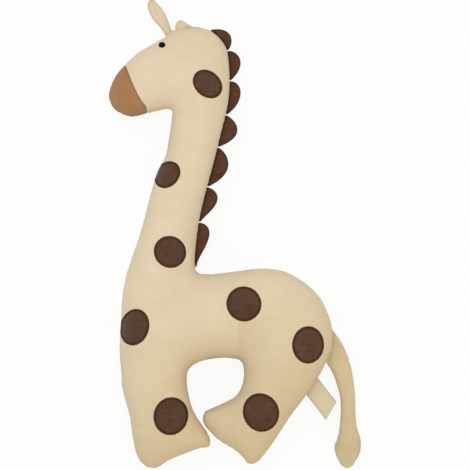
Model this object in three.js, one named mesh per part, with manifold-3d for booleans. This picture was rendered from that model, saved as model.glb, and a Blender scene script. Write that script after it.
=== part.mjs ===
// A stuffed giraffe cushion lying on its back panel, in millimetres.
// +Y runs from the feet to the head, the muzzle points to -X, and +Z is up off the table.
// Two cream covers meet at a sewn edge that lies level, at seamHeight above the table.

import * as THREE from 'three';
import { mergeVertices } from 'three/addons/utils/BufferGeometryUtils.js';
import Module from 'manifold-3d';

const wasm = await Module();
wasm.setup();

// Driving dimensions

const seamHeight = 30.6; // the sewn edge above the table
const gap = 0.3; // clear space between neighbouring pieces
const seatGap = 0.5; // clear space between the covers and a flap sewn into their seam
const coverCloth = 1; // thickness of the covers
const fullness = 8.85; // the crown is this times the root of the room around a point
const flattening = 8; // how sharply the underside turns flat against the table
const undersideRoom = 0.6; // the covers stay this far above the table, for the spots under them
const spotCloth = 0.8; // thickness of a spot
const stitchRise = 0.4; // how far the stitching stands above its spot
const stitchWidth = 3; // width of the satin stitching round a spot
const eyeThread = 0.8; // thickness of an embroidered eye
const flapEdge = 0.6; // thickness of a flap where it enters the seam
const flapBody = 2; // thickness of a doubled mane scallop
const earCloth = 1.6; // thickness of a doubled ear
const labelCloth = 1; // thickness of the folded label
const labelLength = 39.5;
const labelDroop = 4; // how far its free end hangs below the sewn edge
const labelLean = 22; // degrees that it leans down from square to the seam
const earCup = 3.5; // how far an ear's edges stand above its fold

const samePoint = 1e-4; // points this near to each other are one
const tiny = 1e-6; // what counts as nothing in a sum or a length

// Cells of the covers' surface

const cellsAcross = 8;
const cellsFace = 4;
const cellsMuzzle = 4;
const cellsNeck = 11;
const cellsRump = 9;
const cellsLeg = 8;
const outlineSteps = 8; // straight pieces of the outline between two of its points

// The sewn outline, counter-clockwise from the notch under the front ear.
// A name marks a corner where the surface is divided.

const outlinePoints = [
  [-79.5, 560.5, 'brow'], [-87, 553.5], [-98.5, 547], [-110.5, 540], [-122.5, 533],
  [-139, 517, 'noseSeamTop'], [-150, 505], [-157.5, 490, 'noseTop'], [-160, 476],
  [-154, 461, 'noseLow'], [-143.5, 454], [-131, 451], [-110.5, 455.5, 'noseSeamLow'],
  [-96.5, 458.5], [-86, 460], [-79.5, 457.5, 'throat'],
  [-80.5, 447], [-84, 421], [-88.5, 401], [-98, 379.5], [-104.5, 358], [-113, 329], [-122, 298],
  [-131.5, 268, 'chest'], [-139.5, 241], [-143, 219], [-144.5, 191],
  [-146.5, 150, 'elbow'], [-144.5, 124], [-141, 93], [-133.5, 68], [-129, 37], [-122.5, 14],
  [-111.5, 3, 'foreHeel'], [-100, 1.5], [-82, 12], [-61, 20], [-44, 26],
  [-32.5, 29.5, 'foreToe'], [-31, 38], [-35, 48], [-43, 59.5], [-52, 74.5], [-58, 95], [-60.5, 112],
  [-58, 127, 'archLeft'], [-47, 135.5], [-24, 141], [-3, 141],
  [8.5, 137, 'archRight'], [12.5, 126], [10, 107], [1.5, 93.5], [-13.5, 84.5], [-36.5, 74.5],
  [-40, 65, 'hindToe'], [-37.5, 56], [-31, 48.5], [-20.5, 38], [2, 23], [11.5, 12.5],
  [17.5, 7], [28, 7.5, 'hindHeel'], [48, 31], [71.5, 66], [94, 94.5], [107, 116.5], [119.5, 140],
  [126, 159, 'tailBase'], [125, 179], [120, 199], [110, 219], [91, 238], [65, 252],
  [36, 256], [1, 252], [-34, 248.5],
  [-47.5, 251.5, 'withers'], [-51, 262], [-48, 292], [-44, 321], [-36, 355], [-27, 388], [-18, 424],
  [-10, 456, 'nape'], [-7, 472], [-5.5, 498], [-7, 524], [-10, 539],
  [-20.5, 553.5, 'crown'], [-34, 562], [-56, 564],
];

// The curved seam between the muzzle and the face, from top to bottom

const noseSeamPoints = [[-139, 517], [-131, 496], [-125, 483], [-118, 471], [-112, 463.5], [-110.5, 455.5]];

// Ovals: middle, half the length, half the width, and degrees from +X to the length

const spots = [
  ['head', -33.7, 491.6, 20.3, 16.2, -41],
  ['neck', -85, 376.4, 18.6, 15.2, 48],
  ['lower_neck', -82.2, 278, 21, 20.1, -45],
  ['chest', -127.1, 182, 23.6, 18.2, 73],
  ['body', 12.6, 211.9, 22.3, 21.9, -30],
  ['rump', 94.2, 159.8, 23.7, 20.3, 90],
  ['hind_leg', 33.4, 74.2, 25.1, 23.6, -71],
  ['foreleg', -80.6, 68.6, 24.3, 22.5, 80],
];
const eye = [-92, 543, 4.3, 3.7, 0];

// Mane scallops: start and end along the sewn edge from the crown downwards, reach, the share
// of the length, from the top, where a scallop is widest, and how hollow it tapers to its end

const maneTop = [-30, 558.5];
const maneScallops = [
  [-1, 32, 13, 0.55, 1],
  [33.5, 70.5, 15, 0.4, 1],
  [72, 114.5, 14.6, 0.36, 1],
  [116, 157, 19.6, 0.43, 1],
  [158.5, 209.5, 19.2, 0.43, 1],
  [211, 256, 17, 0.3, 1.2],
  [257.5, 314.5, 15.6, 0.25, 1.4],
];
const maneEnds = 2; // depth of a scallop at its two ends

// Tail: inner edge, outer edge, half thickness and height of its middle above the table.
// It starts in the seam, with its root's middle at the corner tailBase.

const tailRoot = 46;
const tailRows = [
  [[120.5, 132.5], [137, 163], 2.2, 28.5],
  [[124, 127], [143, 149], 5.2, 26],
  [[127.5, 117], [148, 132], 8, 22.5],
  [[131.5, 105], [151, 114], 8.4, 19],
  [[135, 91], [153.5, 95], 8, 16],
  [[136, 77], [154.5, 77], 7.8, 14.5],
  [[135.5, 64], [155, 64], 8.4, 14],
  [[134, 50], [157, 50], 10, 13.8],
  [[131.5, 39], [160.5, 39], 12.2, 13.6],
  [[127.5, 27.5], [162, 29], 13, 13.6],
  [[130, 18], [160.5, 17.5], 11.6, 13.4],
  [[134.5, 9], [156, 9.5], 8.4, 13],
  [[140, 1], [150, 1], 3.4, 12.4],
];

// Ears: left edge, right edge and height of the fold over the sewn edge

const frontEarSeam = [[-87, 553.5], [-79, 560.5]];
const frontEarRows = [
  [[-94, 564.5], [-82, 567], 1],
  [[-101.5, 573.5], [-85, 575], 2],
  [[-106.5, 582.5], [-88, 583], 2],
  [[-110, 591], [-93, 591], 1],
  [[-110, 597], [-98, 597], 0.5],
  [[-107.5, 600.5], [-102.5, 600.5], 0],
];
const rearEarSeam = [[-75, 562], [-62, 564]];
const rearEarRows = [
  [[-75, 567], [-60.5, 564.6], -1],
  [[-73, 572], [-58, 564], -4],
  [[-68, 574.6], [-55, 563], -8],
  [[-60.5, 570.4], [-51, 562], -12],
  [[-52.5, 566.8], [-46.5, 561.2], -15],
  [[-43.5, 565.8], [-41.5, 561], -17],
  [[-37, 563.8], [-37.5, 560.6], -18],
];

const labelSeam = [[93.5, 94], [107, 117]];

// A closed edge of straight pieces, measured along its length counter-clockwise: at() gives
// the point at a distance, moved outwards by a clearance, and nearest() the distance of its
// point nearest to a place.

function closedEdge(corners) {
  const count = corners.length;
  const reached = [0];
  for (let i = 1; i <= count; i += 1) {
    reached.push(reached[i - 1] + corners[i % count].distanceTo(corners[i - 1]));
  }
  const length = reached[count];
  function at(distance, clearance = 0) {
    const s = ((distance % length) + length) % length;
    const i = reached.findIndex((far) => far > s) - 1;
    const a = corners[i];
    const b = corners[(i + 1) % count];
    const t = (s - reached[i]) / (reached[i + 1] - reached[i]);
    const before = corners[(i + count - 1) % count];
    const after = corners[(i + 2) % count];
    const tangent = b.clone().sub(before).normalize().lerp(after.clone().sub(a).normalize(), t);
    const outwards = new THREE.Vector3(tangent.y, -tangent.x, 0).normalize();
    const point = a.clone().lerp(b, t).addScaledVector(outwards, clearance);
    return Object.assign(point, { outwards });
  }
  function nearest([x, y]) {
    const place = new THREE.Vector3(x, y, 0);
    const feet = corners.map((a, i) => {
      const side = new THREE.Line3(a, corners[(i + 1) % count]);
      const t = side.closestPointToPointParameter(place, true);
      const foot = side.at(t, new THREE.Vector3());
      return { away: foot.distanceTo(place), along: reached[i] + t * side.distance() };
    });
    return feet.reduce((best, foot) => (foot.away < best.away ? foot : best)).along;
  }
  return { at, nearest, reached, length };
}

// The sewn outline as a smooth closed curve, cut into short straight pieces

const cornerIndex = {};
outlinePoints.forEach(([, , name], i) => {
  if (name) cornerIndex[name] = i * outlineSteps;
});
const outlineCurve = new THREE.CatmullRomCurve3(
  outlinePoints.map(([x, y]) => new THREE.Vector3(x, y, 0)), true, 'centripetal');
const outline = outlineCurve.getPoints(outlinePoints.length * outlineSteps).slice(0, -1);
const smoothEdge = closedEdge(outline);

// How roomy the giraffe is around a point: half the distance to the edges in the middle of a
// strip, and the distance itself close to one edge. It is pi over the sum of ds / r^2 round
// the outline, and each straight piece gives its seen angle over its perpendicular distance.

function room(x, y) {
  let sum = 0;
  for (let i = 0; i < outline.length; i += 1) {
    const a = outline[i];
    const b = outline[(i + 1) % outline.length];
    const ax = a.x - x;
    const ay = a.y - y;
    const bx = b.x - x;
    const by = b.y - y;
    const cross = Math.abs(ax * by - ay * bx);
    const dot = ax * bx + ay * by;
    const length = a.distanceTo(b);
    if (cross > tiny * length) sum += (Math.atan2(cross, dot) * length) / cross;
    else if (dot <= 0) return 0;
    else sum += length / Math.sqrt((ax * ax + ay * ay) * (bx * bx + by * by));
  }
  return Math.PI / sum;
}

function crownAt(x, y) {
  return fullness * Math.sqrt(room(x, y));
}

// Below the seam the same swelling is pressed flat by the table.

const undersideDepth = seamHeight - undersideRoom;
function depthAt(x, y) {
  const crown = crownAt(x, y);
  const both = undersideDepth ** flattening + crown ** flattening;
  return (undersideDepth * crown) / both ** (1 / flattening);
}

// A point of the outer surface moved out by an offset along the surface's own normal.
// side is 1 for the front and -1 for the back, and seamGap keeps it off the other side.

const slopeStep = 0.05;
function surfacePoint(point, offset, side, seamGap) {
  const { x, y, outwards } = point;
  const seam = seamHeight + (side * seamGap) / 2;
  if (outwards) return new THREE.Vector3(x, y, seam).addScaledVector(outwards, offset);
  const height = side > 0 ? crownAt : depthAt;
  const dx = (height(x + slopeStep, y) - height(x - slopeStep, y)) / (2 * slopeStep);
  const dy = (height(x, y + slopeStep) - height(x, y - slopeStep)) / (2 * slopeStep);
  const normal = new THREE.Vector3(-dx, -dy, side).normalize();
  return new THREE.Vector3(x, y, seam + side * height(x, y)).addScaledVector(normal, offset);
}

// Spacings along a side: even, closer at both ends, or closer at one end.

const even = (t) => t;
const bothEnds = (t) => (1 - Math.cos(Math.PI * t)) / 2;
const farEnd = (t) => Math.sin((Math.PI * t) / 2);

// A side of a block along the sewn outline between two named corners.

function edgeSide(from, to, cells, spacing) {
  const { at, reached, length } = smoothEdge;
  const start = reached[cornerIndex[from]];
  const forwards = (reached[cornerIndex[to]] - start + length) % length;
  const way = forwards < length / 2 ? forwards : forwards - length;
  return Array.from({ length: cells + 1 }, (_, i) => at(start + way * spacing(i / cells)));
}

// A side of a block across the giraffe, on a line or curve between two outline corners.

function crossSide(from, to, cells, inner = []) {
  const first = smoothEdge.at(smoothEdge.reached[cornerIndex[from]]);
  const last = smoothEdge.at(smoothEdge.reached[cornerIndex[to]]);
  const middle = inner.slice(1, -1).map(([x, y]) => new THREE.Vector3(x, y, 0));
  const curve = new THREE.CatmullRomCurve3([first, ...middle, last], false, 'centripetal');
  return Array.from({ length: cells + 1 }, (_, i) => {
    if (i === 0) return first;
    if (i === cells) return last;
    return curve.getPointAt(bothEnds(i / cells));
  });
}

// A block is a grid of points whose four sides are given: each inner point is the mean of the
// two straight fills between opposite sides, less the fill from the four corners.

function block(top, bottom, left, right) {
  const columns = top.length - 1;
  const rows = left.length - 1;
  const grid = [];
  for (let j = 0; j <= rows; j += 1) {
    const v = j / rows;
    const row = [];
    for (let i = 0; i <= columns; i += 1) {
      const u = i / columns;
      const corners = [top[0], top[columns], bottom[0], bottom[columns]];
      const weights = [(1 - u) * (1 - v), u * (1 - v), (1 - u) * v, u * v];
      const point = new THREE.Vector3();
      point.addScaledVector(top[i], 1 - v).addScaledVector(bottom[i], v);
      point.addScaledVector(left[j], 1 - u).addScaledVector(right[j], u);
      corners.forEach((corner, k) => point.addScaledVector(corner, -weights[k]));
      row.push(point);
    }
    grid.push(row);
  }
  for (let i = 0; i <= columns; i += 1) {
    grid[0][i] = top[i];
    grid[rows][i] = bottom[i];
  }
  for (let j = 0; j <= rows; j += 1) {
    grid[j][0] = left[j];
    grid[j][columns] = right[j];
  }
  return grid;
}

// The sides that blocks share

const noseSeam = crossSide('noseSeamTop', 'noseSeamLow', cellsAcross, noseSeamPoints);
const browToThroat = crossSide('brow', 'throat', cellsAcross);
const throatToNape = crossSide('throat', 'nape', cellsAcross);
const chestToWithers = crossSide('chest', 'withers', cellsAcross);
const elbowToArch = crossSide('elbow', 'archLeft', cellsAcross);
const withersToArch = crossSide('withers', 'archLeft', cellsAcross);
const tailToArch = crossSide('tailBase', 'archRight', cellsAcross);

const blocks = {
  muzzle: block(
    edgeSide('noseTop', 'noseSeamTop', cellsMuzzle, even),
    edgeSide('noseLow', 'noseSeamLow', cellsMuzzle, even),
    edgeSide('noseTop', 'noseLow', cellsAcross, even),
    noseSeam),
  face: block(
    edgeSide('noseSeamTop', 'brow', cellsFace, even),
    edgeSide('noseSeamLow', 'throat', cellsFace, even),
    noseSeam,
    browToThroat),
  crown: block(
    edgeSide('brow', 'crown', cellsAcross, bothEnds),
    throatToNape,
    browToThroat,
    edgeSide('crown', 'nape', cellsAcross, bothEnds)),
  neck: block(
    throatToNape,
    chestToWithers,
    edgeSide('throat', 'chest', cellsNeck, even),
    edgeSide('nape', 'withers', cellsNeck, even)),
  chest: block(
    chestToWithers,
    elbowToArch,
    edgeSide('chest', 'elbow', cellsAcross, even),
    withersToArch),
  rump: block(
    edgeSide('withers', 'tailBase', cellsRump, even),
    edgeSide('archLeft', 'archRight', cellsRump, even),
    withersToArch,
    tailToArch),
  foreleg: block(
    elbowToArch,
    edgeSide('foreHeel', 'foreToe', cellsAcross, even),
    edgeSide('elbow', 'foreHeel', cellsLeg, farEnd),
    edgeSide('archLeft', 'foreToe', cellsLeg, farEnd)),
  hindLeg: block(
    tailToArch.slice().reverse(),
    edgeSide('hindToe', 'hindHeel', cellsAcross, even),
    edgeSide('archRight', 'hindToe', cellsLeg, farEnd),
    edgeSide('tailBase', 'hindHeel', cellsLeg, farEnd)),
};

// Joins grids into one sheet: the places where grids meet become one point.

function sheetOf(grids) {
  const points = [];
  const triangles = [];
  const seen = new Map();
  const indexOf = (point) => {
    const key = `${point.x.toFixed(3)},${point.y.toFixed(3)}`;
    if (!seen.has(key)) {
      seen.set(key, points.length);
      points.push(point);
    }
    return seen.get(key);
  };
  for (const grid of grids) {
    for (let j = 0; j + 1 < grid.length; j += 1) {
      for (let i = 0; i + 1 < grid[j].length; i += 1) {
        const a = indexOf(grid[j][i]);
        const b = indexOf(grid[j + 1][i]);
        const c = indexOf(grid[j + 1][i + 1]);
        const d = indexOf(grid[j][i + 1]);
        triangles.push([a, b, c], [a, c, d]);
      }
    }
  }
  return { points, triangles };
}

// The edges of a sheet that only one triangle uses, in that triangle's direction.

function borderOf(triangles) {
  const edges = new Map();
  for (const [a, b, c] of triangles) {
    for (const [from, to] of [[a, b], [b, c], [c, a]]) {
      if (edges.has(`${to},${from}`)) edges.delete(`${to},${from}`);
      else edges.set(`${from},${to}`, [from, to]);
    }
  }
  return [...edges.values()];
}

// The edge that the covers really have: the straight sides of their outer cells, in order.

function sewnEdge() {
  const { points, triangles } = sheetOf(Object.values(blocks));
  const next = new Map(borderOf(triangles));
  const loop = [next.keys().next().value];
  while (next.get(loop.at(-1)) !== loop[0]) loop.push(next.get(loop.at(-1)));
  return closedEdge(loop.map((i) => points[i]));
}
const seamEdge = sewnEdge();

// A closed solid between an upper and a lower copy of one sheet. Where the two copies of a
// point are the same place, the solid closes there without a wall.

function closedSolid(upper, lower, triangles) {
  const count = upper.length;
  const same = upper.map((point, i) => point.distanceTo(lower[i]) < tiny);
  const under = (i) => (same[i] ? i : i + count);
  const faces = [];
  const add = (a, b, c) => {
    if (a !== b && b !== c && c !== a) faces.push(a, b, c);
  };
  for (const [a, b, c] of triangles) {
    add(a, b, c);
    add(under(c), under(b), under(a));
  }
  for (const [from, to] of borderOf(triangles)) {
    add(to, from, under(from));
    add(to, under(from), under(to));
  }
  return meshGeometry([...upper, ...lower], faces);
}

function meshGeometry(points, faces) {
  const geometry = new THREE.BufferGeometry();
  const positions = points.flatMap((point) => [point.x, point.y, point.z]);
  geometry.setAttribute('position', new THREE.Float32BufferAttribute(positions, 3));
  geometry.setIndex(faces);
  return geometry;
}

// Cutting and joining closed meshes

function toManifold(geometry) {
  const bare = geometry.clone();
  bare.deleteAttribute('normal');
  bare.deleteAttribute('uv');
  const merged = mergeVertices(bare, samePoint);
  const mesh = new wasm.Mesh({
    numProp: 3,
    vertProperties: new Float32Array(merged.attributes.position.array),
    triVerts: new Uint32Array(merged.index.array),
  });
  mesh.merge();
  return new wasm.Manifold(mesh);
}

function toGeometry(manifold) {
  const { vertProperties, triVerts } = manifold.getMesh();
  const geometry = new THREE.BufferGeometry();
  geometry.setAttribute('position', new THREE.BufferAttribute(vertProperties, 3));
  geometry.setIndex(new THREE.BufferAttribute(triVerts, 1));
  return geometry;
}

// A layer that follows one side of the giraffe between two offsets from its outer surface.

function layer(grids, side, inner, outer, seamGap) {
  const { points, triangles } = sheetOf(grids);
  const ordered = side > 0 ? triangles : triangles.map(([a, b, c]) => [c, b, a]);
  const far = points.map((point) => surfacePoint(point, outer, side, seamGap));
  const near = points.map((point) => surfacePoint(point, inner, side, seamGap));
  return closedSolid(far, near, ordered);
}

// Moves the points of one row or column of a grid towards its neighbour by the gap.

function drawnBack(grid, where) {
  const copy = grid.map((row) => row.slice());
  const last = grid.length - 1;
  const end = grid[0].length - 1;
  const towards = (point, next) => {
    const moved = point.clone().add(next.clone().sub(point).setLength(gap));
    return point.outwards ? Object.assign(moved, { outwards: point.outwards }) : moved;
  };
  if (where === 'first') copy[0] = grid[0].map((point, i) => towards(point, grid[1][i]));
  if (where === 'last') copy[last] = grid[last].map((point, i) => towards(point, grid[last - 1][i]));
  if (where === 'right') {
    copy.forEach((row, j) => {
      row[end] = towards(grid[j][end], grid[j][end - 1]);
    });
  }
  return copy;
}

// A filling fills the inside of the covers over its own blocks.

const fillingInset = coverCloth + gap;
function filling(grids) {
  const { points, triangles } = sheetOf(grids);
  const upper = points.map((point) => surfacePoint(point, -fillingInset, 1, 0));
  const lower = points.map((point) => surfacePoint(point, -fillingInset, -1, 0));
  return closedSolid(upper, lower, triangles);
}

// An upright oval column, to cut spots, rings and eyes out of a layer

const beyond = 2000; // past everything, for the cutting blocks
const ovalSides = 24;
function ovalColumn([x, y, halfLength, halfWidth, degrees], side) {
  const shape = new THREE.Shape();
  const turn = THREE.MathUtils.degToRad(degrees);
  for (let i = 0; i < ovalSides; i += 1) {
    const angle = (2 * Math.PI * i) / ovalSides;
    const corner = new THREE.Vector2(halfLength * Math.cos(angle), halfWidth * Math.sin(angle));
    corner.rotateAround(new THREE.Vector2(), turn).add(new THREE.Vector2(x, y));
    if (i === 0) shape.moveTo(corner.x, corner.y);
    else shape.lineTo(corner.x, corner.y);
  }
  shape.closePath();
  const column = new THREE.ExtrudeGeometry(shape, { depth: beyond, bevelEnabled: false });
  column.translate(0, 0, side > 0 ? seamHeight : seamHeight - beyond);
  return toManifold(column);
}

// Everything above the table, to cut the underside flat

function aboveTable() {
  const box = new THREE.BoxGeometry(2 * beyond, 2 * beyond, 2 * beyond);
  box.translate(0, 0, beyond);
  return toManifold(box);
}
const overTable = aboveTable();

// A flap of doubled cloth on a grid of points: thin in the seam, then full.

function flap(rows, thicknessAt) {
  const { points, triangles } = sheetOf([rows]);
  const thickness = new Map();
  const normal = new Map();
  rows.forEach((row, j) => {
    row.forEach((point, i) => {
      const across = row[Math.min(i + 1, row.length - 1)].clone().sub(row[Math.max(i - 1, 0)]);
      const up = rows[Math.min(j + 1, rows.length - 1)][i].clone();
      up.sub(rows[Math.max(j - 1, 0)][i]);
      normal.set(point, across.cross(up).normalize());
      thickness.set(point, thicknessAt(j, i));
    });
  });
  const upper = points.map((p) => p.clone().addScaledVector(normal.get(p), thickness.get(p) / 2));
  const lower = points.map((p) => p.clone().addScaledVector(normal.get(p), -thickness.get(p) / 2));
  return closedSolid(upper, lower, triangles.map(([a, b, c]) => [c, b, a]));
}

// The row of points in the seam that a flap starts from, kept clear of the covers.

function seamRow(start, end, cells) {
  return Array.from({ length: cells + 1 }, (_, i) => {
    const point = seamEdge.at(start + ((end - start) * i) / cells, seatGap);
    return new THREE.Vector3(point.x, point.y, seamHeight);
  });
}

// A mane scallop: out of the seam by an arch that is round at its top and tapers to its end. It
// is a power of the share along it times a power of what is left, widest at its fullest share.

const maneColumns = 10;
const maneShares = [0, 0.2, 0.6, 1];
function maneScallop([start, end, reach, fullest, taper]) {
  const top = seamEdge.nearest(maneTop);
  const rows = maneShares.map(() => []);
  const roundness = (taper * fullest) / (1 - fullest);
  const archAt = (share) => share ** roundness * (1 - share) ** taper;
  for (let i = 0; i <= maneColumns; i += 1) {
    const share = bothEnds(i / maneColumns);
    const out = maneEnds + ((reach - maneEnds) * archAt(share)) / archAt(fullest);
    const distance = top - start - (end - start) * share;
    maneShares.forEach((depth, j) => {
      const point = seamEdge.at(distance, seatGap + (out - seatGap) * depth);
      rows[j].push(new THREE.Vector3(point.x, point.y, seamHeight));
    });
  }
  return flap(rows, (j) => (j === 0 ? flapEdge : flapBody));
}

// An ear: a leaf folded along its middle, with its edges standing above the fold.

const earCells = 4;
function ear(seam, leafRows, turn) {
  const rows = [seamRow(seamEdge.nearest(seam[0]), seamEdge.nearest(seam[1]), earCells)];
  leafRows.forEach(([left, right, height], k) => {
    const cup = earCup * Math.sin((Math.PI * (k + 1)) / (leafRows.length + 1));
    const row = [];
    for (let i = 0; i <= earCells; i += 1) {
      const u = i / earCells;
      const x = left[0] + (right[0] - left[0]) * u;
      const y = left[1] + (right[1] - left[1]) * u;
      const fold = Math.abs(2 * u - 1) - 0.5;
      row.push(new THREE.Vector3(x, y, seamHeight + height + turn * cup * fold));
    }
    rows.push(row);
  });
  return flap(rows, (j) => (j === 0 ? flapEdge : earCloth));
}

// The tail: rows of half ovals above and below a level middle line.

const tailCells = 6;
function tail() {
  const base = seamEdge.nearest(smoothEdge.at(smoothEdge.reached[cornerIndex.tailBase]).toArray());
  const seam = seamRow(base - tailRoot / 2, base + tailRoot / 2, tailCells);
  const upper = [];
  const lower = [];
  const addRow = (pointAt, half, height) => {
    const above = [];
    const below = [];
    for (let i = 0; i <= tailCells; i += 1) {
      const u = bothEnds(i / tailCells);
      const { x, y } = pointAt(u, i);
      const rise = i % tailCells === 0 ? 0 : half * Math.sqrt(1 - (2 * u - 1) ** 2);
      above.push(new THREE.Vector3(x, y, height + rise));
      below.push(new THREE.Vector3(x, y, height - rise));
    }
    upper.push(above);
    lower.push(below);
  };
  addRow((u, i) => seam[i], flapEdge / 2, seamHeight);
  for (const [inner, outer, half, height] of tailRows) {
    const at = (u) => new THREE.Vector3(
      inner[0] + (outer[0] - inner[0]) * u, inner[1] + (outer[1] - inner[1]) * u, 0);
    addRow(at, half, height);
  }
  const above = sheetOf([upper]);
  const flatLower = lower.flat();
  const order = new Map();
  upper.flat().forEach((point, i) => order.set(point, i));
  const below = above.points.map((point) => flatLower[order.get(point)]);
  return closedSolid(above.points, below, above.triangles);
}

// The label: a folded tape, hanging a little from the seam.

const labelRows = 3;
function label() {
  const base = seamRow(seamEdge.nearest(labelSeam[0]), seamEdge.nearest(labelSeam[1]), 2);
  const along = base[2].clone().sub(base[0]).normalize();
  const out = new THREE.Vector3(along.y, -along.x, 0);
  out.applyAxisAngle(new THREE.Vector3(0, 0, 1), THREE.MathUtils.degToRad(-labelLean));
  const rows = [base];
  for (let j = 1; j <= labelRows; j += 1) {
    const share = j / labelRows;
    rows.push(base.map((point) => {
      const moved = point.clone().addScaledVector(out, labelLength * share);
      moved.z -= labelDroop * share * share;
      return moved;
    }));
  }
  return flap(rows, (j) => (j === 0 ? flapEdge : labelCloth));
}

// Finishes

const cream = { color: 0xe2cfad, roughness: 0.9, metalness: 0 };
const tan = { color: 0xa67c52, roughness: 0.85, metalness: 0 };
const brown = { color: 0x5b3d33, roughness: 0.95, metalness: 0 };
const brownThread = { color: 0x4a3020, roughness: 0.6, metalness: 0 };
const maneBrown = { color: 0x5a3829, roughness: 0.9, metalness: 0 };
const blackThread = { color: 0x15110f, roughness: 0.5, metalness: 0 };
const fibre = { color: 0xf2efe8, roughness: 1, metalness: 0 };
const tape = { color: 0xd9cdb0, roughness: 0.8, metalness: 0 };

const toy = new THREE.Group();
function add(name, geometry, finish) {
  const mesh = new THREE.Mesh(geometry, new THREE.MeshStandardMaterial(finish));
  mesh.name = name;
  toy.add(mesh);
}

// Covers: the muzzle is a panel of its own, drawn back from the seam by the gap.

const { muzzle, ...bodyBlocks } = blocks;
const bodyGrids = Object.values(bodyBlocks);
const muzzleGrid = drawnBack(muzzle, 'right');
for (const [word, side] of [['front', 1], ['back', -1]]) {
  add(`${word}_cover`, layer(bodyGrids, side, -coverCloth, 0, gap), cream);
  add(`${word}_muzzle`, layer([muzzleGrid], side, -coverCloth, 0, gap), tan);
}

// Fillings: the trunk is whole, and the smaller ones are drawn back from it.

add('trunk_filling', filling([blocks.chest, blocks.rump]), fibre);
add('neck_filling', filling([drawnBack(blocks.neck, 'last')]), fibre);
add('head_filling', filling([blocks.muzzle, blocks.face, drawnBack(blocks.crown, 'last')]), fibre);
add('foreleg_filling', filling([drawnBack(blocks.foreleg, 'first')]), fibre);
add('hind_leg_filling', filling([drawnBack(blocks.hindLeg, 'first')]), fibre);

// Spots with their stitching, and the eyes, on both sides

function widened([x, y, halfLength, halfWidth, degrees], by) {
  return [x, y, halfLength + by, halfWidth + by, degrees];
}
for (const [word, side] of [['front', 1], ['back', -1]]) {
  const cloth = toManifold(layer(Object.values(blocks), side, gap, gap + spotCloth, gap));
  const thread = toManifold(
    layer(Object.values(blocks), side, gap, gap + spotCloth + stitchRise, gap));
  const eyeLayer = toManifold(layer([blocks.crown, blocks.face], side, gap, gap + eyeThread, gap));
  for (const [name, ...oval] of spots) {
    const inside = ovalColumn(widened(oval, -stitchWidth - gap), side);
    const hole = ovalColumn(widened(oval, -stitchWidth), side);
    const whole = ovalColumn(oval, side);
    add(`${word}_${name}_spot`, toGeometry(cloth.intersect(inside).intersect(overTable)), brown);
    const ring = thread.intersect(whole.subtract(hole)).intersect(overTable);
    add(`${word}_${name}_stitching`, toGeometry(ring), brownThread);
  }
  add(`${word}_eye`, toGeometry(eyeLayer.intersect(ovalColumn(eye, side))), blackThread);
}

// Pieces sewn into the seam

maneScallops.forEach((scallop, i) => {
  add(`mane_scallop_${i + 1}`, maneScallop(scallop), maneBrown);
});
add('front_ear', ear(frontEarSeam, frontEarRows, 1), cream);
add('rear_ear', ear(rearEarSeam, rearEarRows, 0.4), cream);
add('tail', tail(), cream);
add('care_label', label(), tape);

// The origin is under the middle of the whole toy, on the table.

const box = new THREE.Box3().setFromObject(toy);
const middle = box.getCenter(new THREE.Vector3());
toy.position.set(-middle.x, -middle.y, -box.min.z);
const giraffe = new THREE.Group();
giraffe.add(toy);

export default giraffe;
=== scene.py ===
# The looks of a stuffed giraffe cushion that lies flat on its back panel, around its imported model.
# Plan points are in millimetres, in the drawing that the model was made from: +Y is towards the
# head, the muzzle points to -X, and heights are above the table. Meshes are made in metres.

import math

import bmesh
import bpy
import numpy as np
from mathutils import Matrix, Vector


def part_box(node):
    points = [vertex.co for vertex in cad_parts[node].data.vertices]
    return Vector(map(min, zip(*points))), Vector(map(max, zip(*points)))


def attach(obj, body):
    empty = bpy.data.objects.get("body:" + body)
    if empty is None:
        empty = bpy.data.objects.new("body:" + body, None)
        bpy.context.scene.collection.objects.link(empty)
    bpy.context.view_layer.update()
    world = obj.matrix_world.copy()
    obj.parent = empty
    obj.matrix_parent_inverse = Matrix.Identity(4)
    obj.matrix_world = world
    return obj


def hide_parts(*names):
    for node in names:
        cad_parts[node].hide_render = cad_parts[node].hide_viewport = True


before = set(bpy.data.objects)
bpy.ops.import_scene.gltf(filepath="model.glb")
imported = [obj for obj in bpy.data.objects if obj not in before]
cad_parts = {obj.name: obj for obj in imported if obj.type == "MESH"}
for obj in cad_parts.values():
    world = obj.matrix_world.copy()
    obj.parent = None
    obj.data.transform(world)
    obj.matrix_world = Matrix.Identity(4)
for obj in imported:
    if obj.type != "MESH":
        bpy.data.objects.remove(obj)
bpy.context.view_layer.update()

MM = 0.001

# Driving dimensions, in millimetres

SEAM_HEIGHT = 30.6  # the sewn edge above the table
FULLNESS = 8.85  # the crown is this times the root of the room around a point
FLATTENING = 8  # how sharply the underside turns flat against the table
UNDERSIDE_ROOM = 0.6
TABLE_ROOM = 0.3  # no cloth comes nearer to the table than this
TUCKED = 1.5  # how far a flap reaches into the seam that holds it

# The sewn outline, counter-clockwise. A name marks a corner where the surface is divided.

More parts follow.
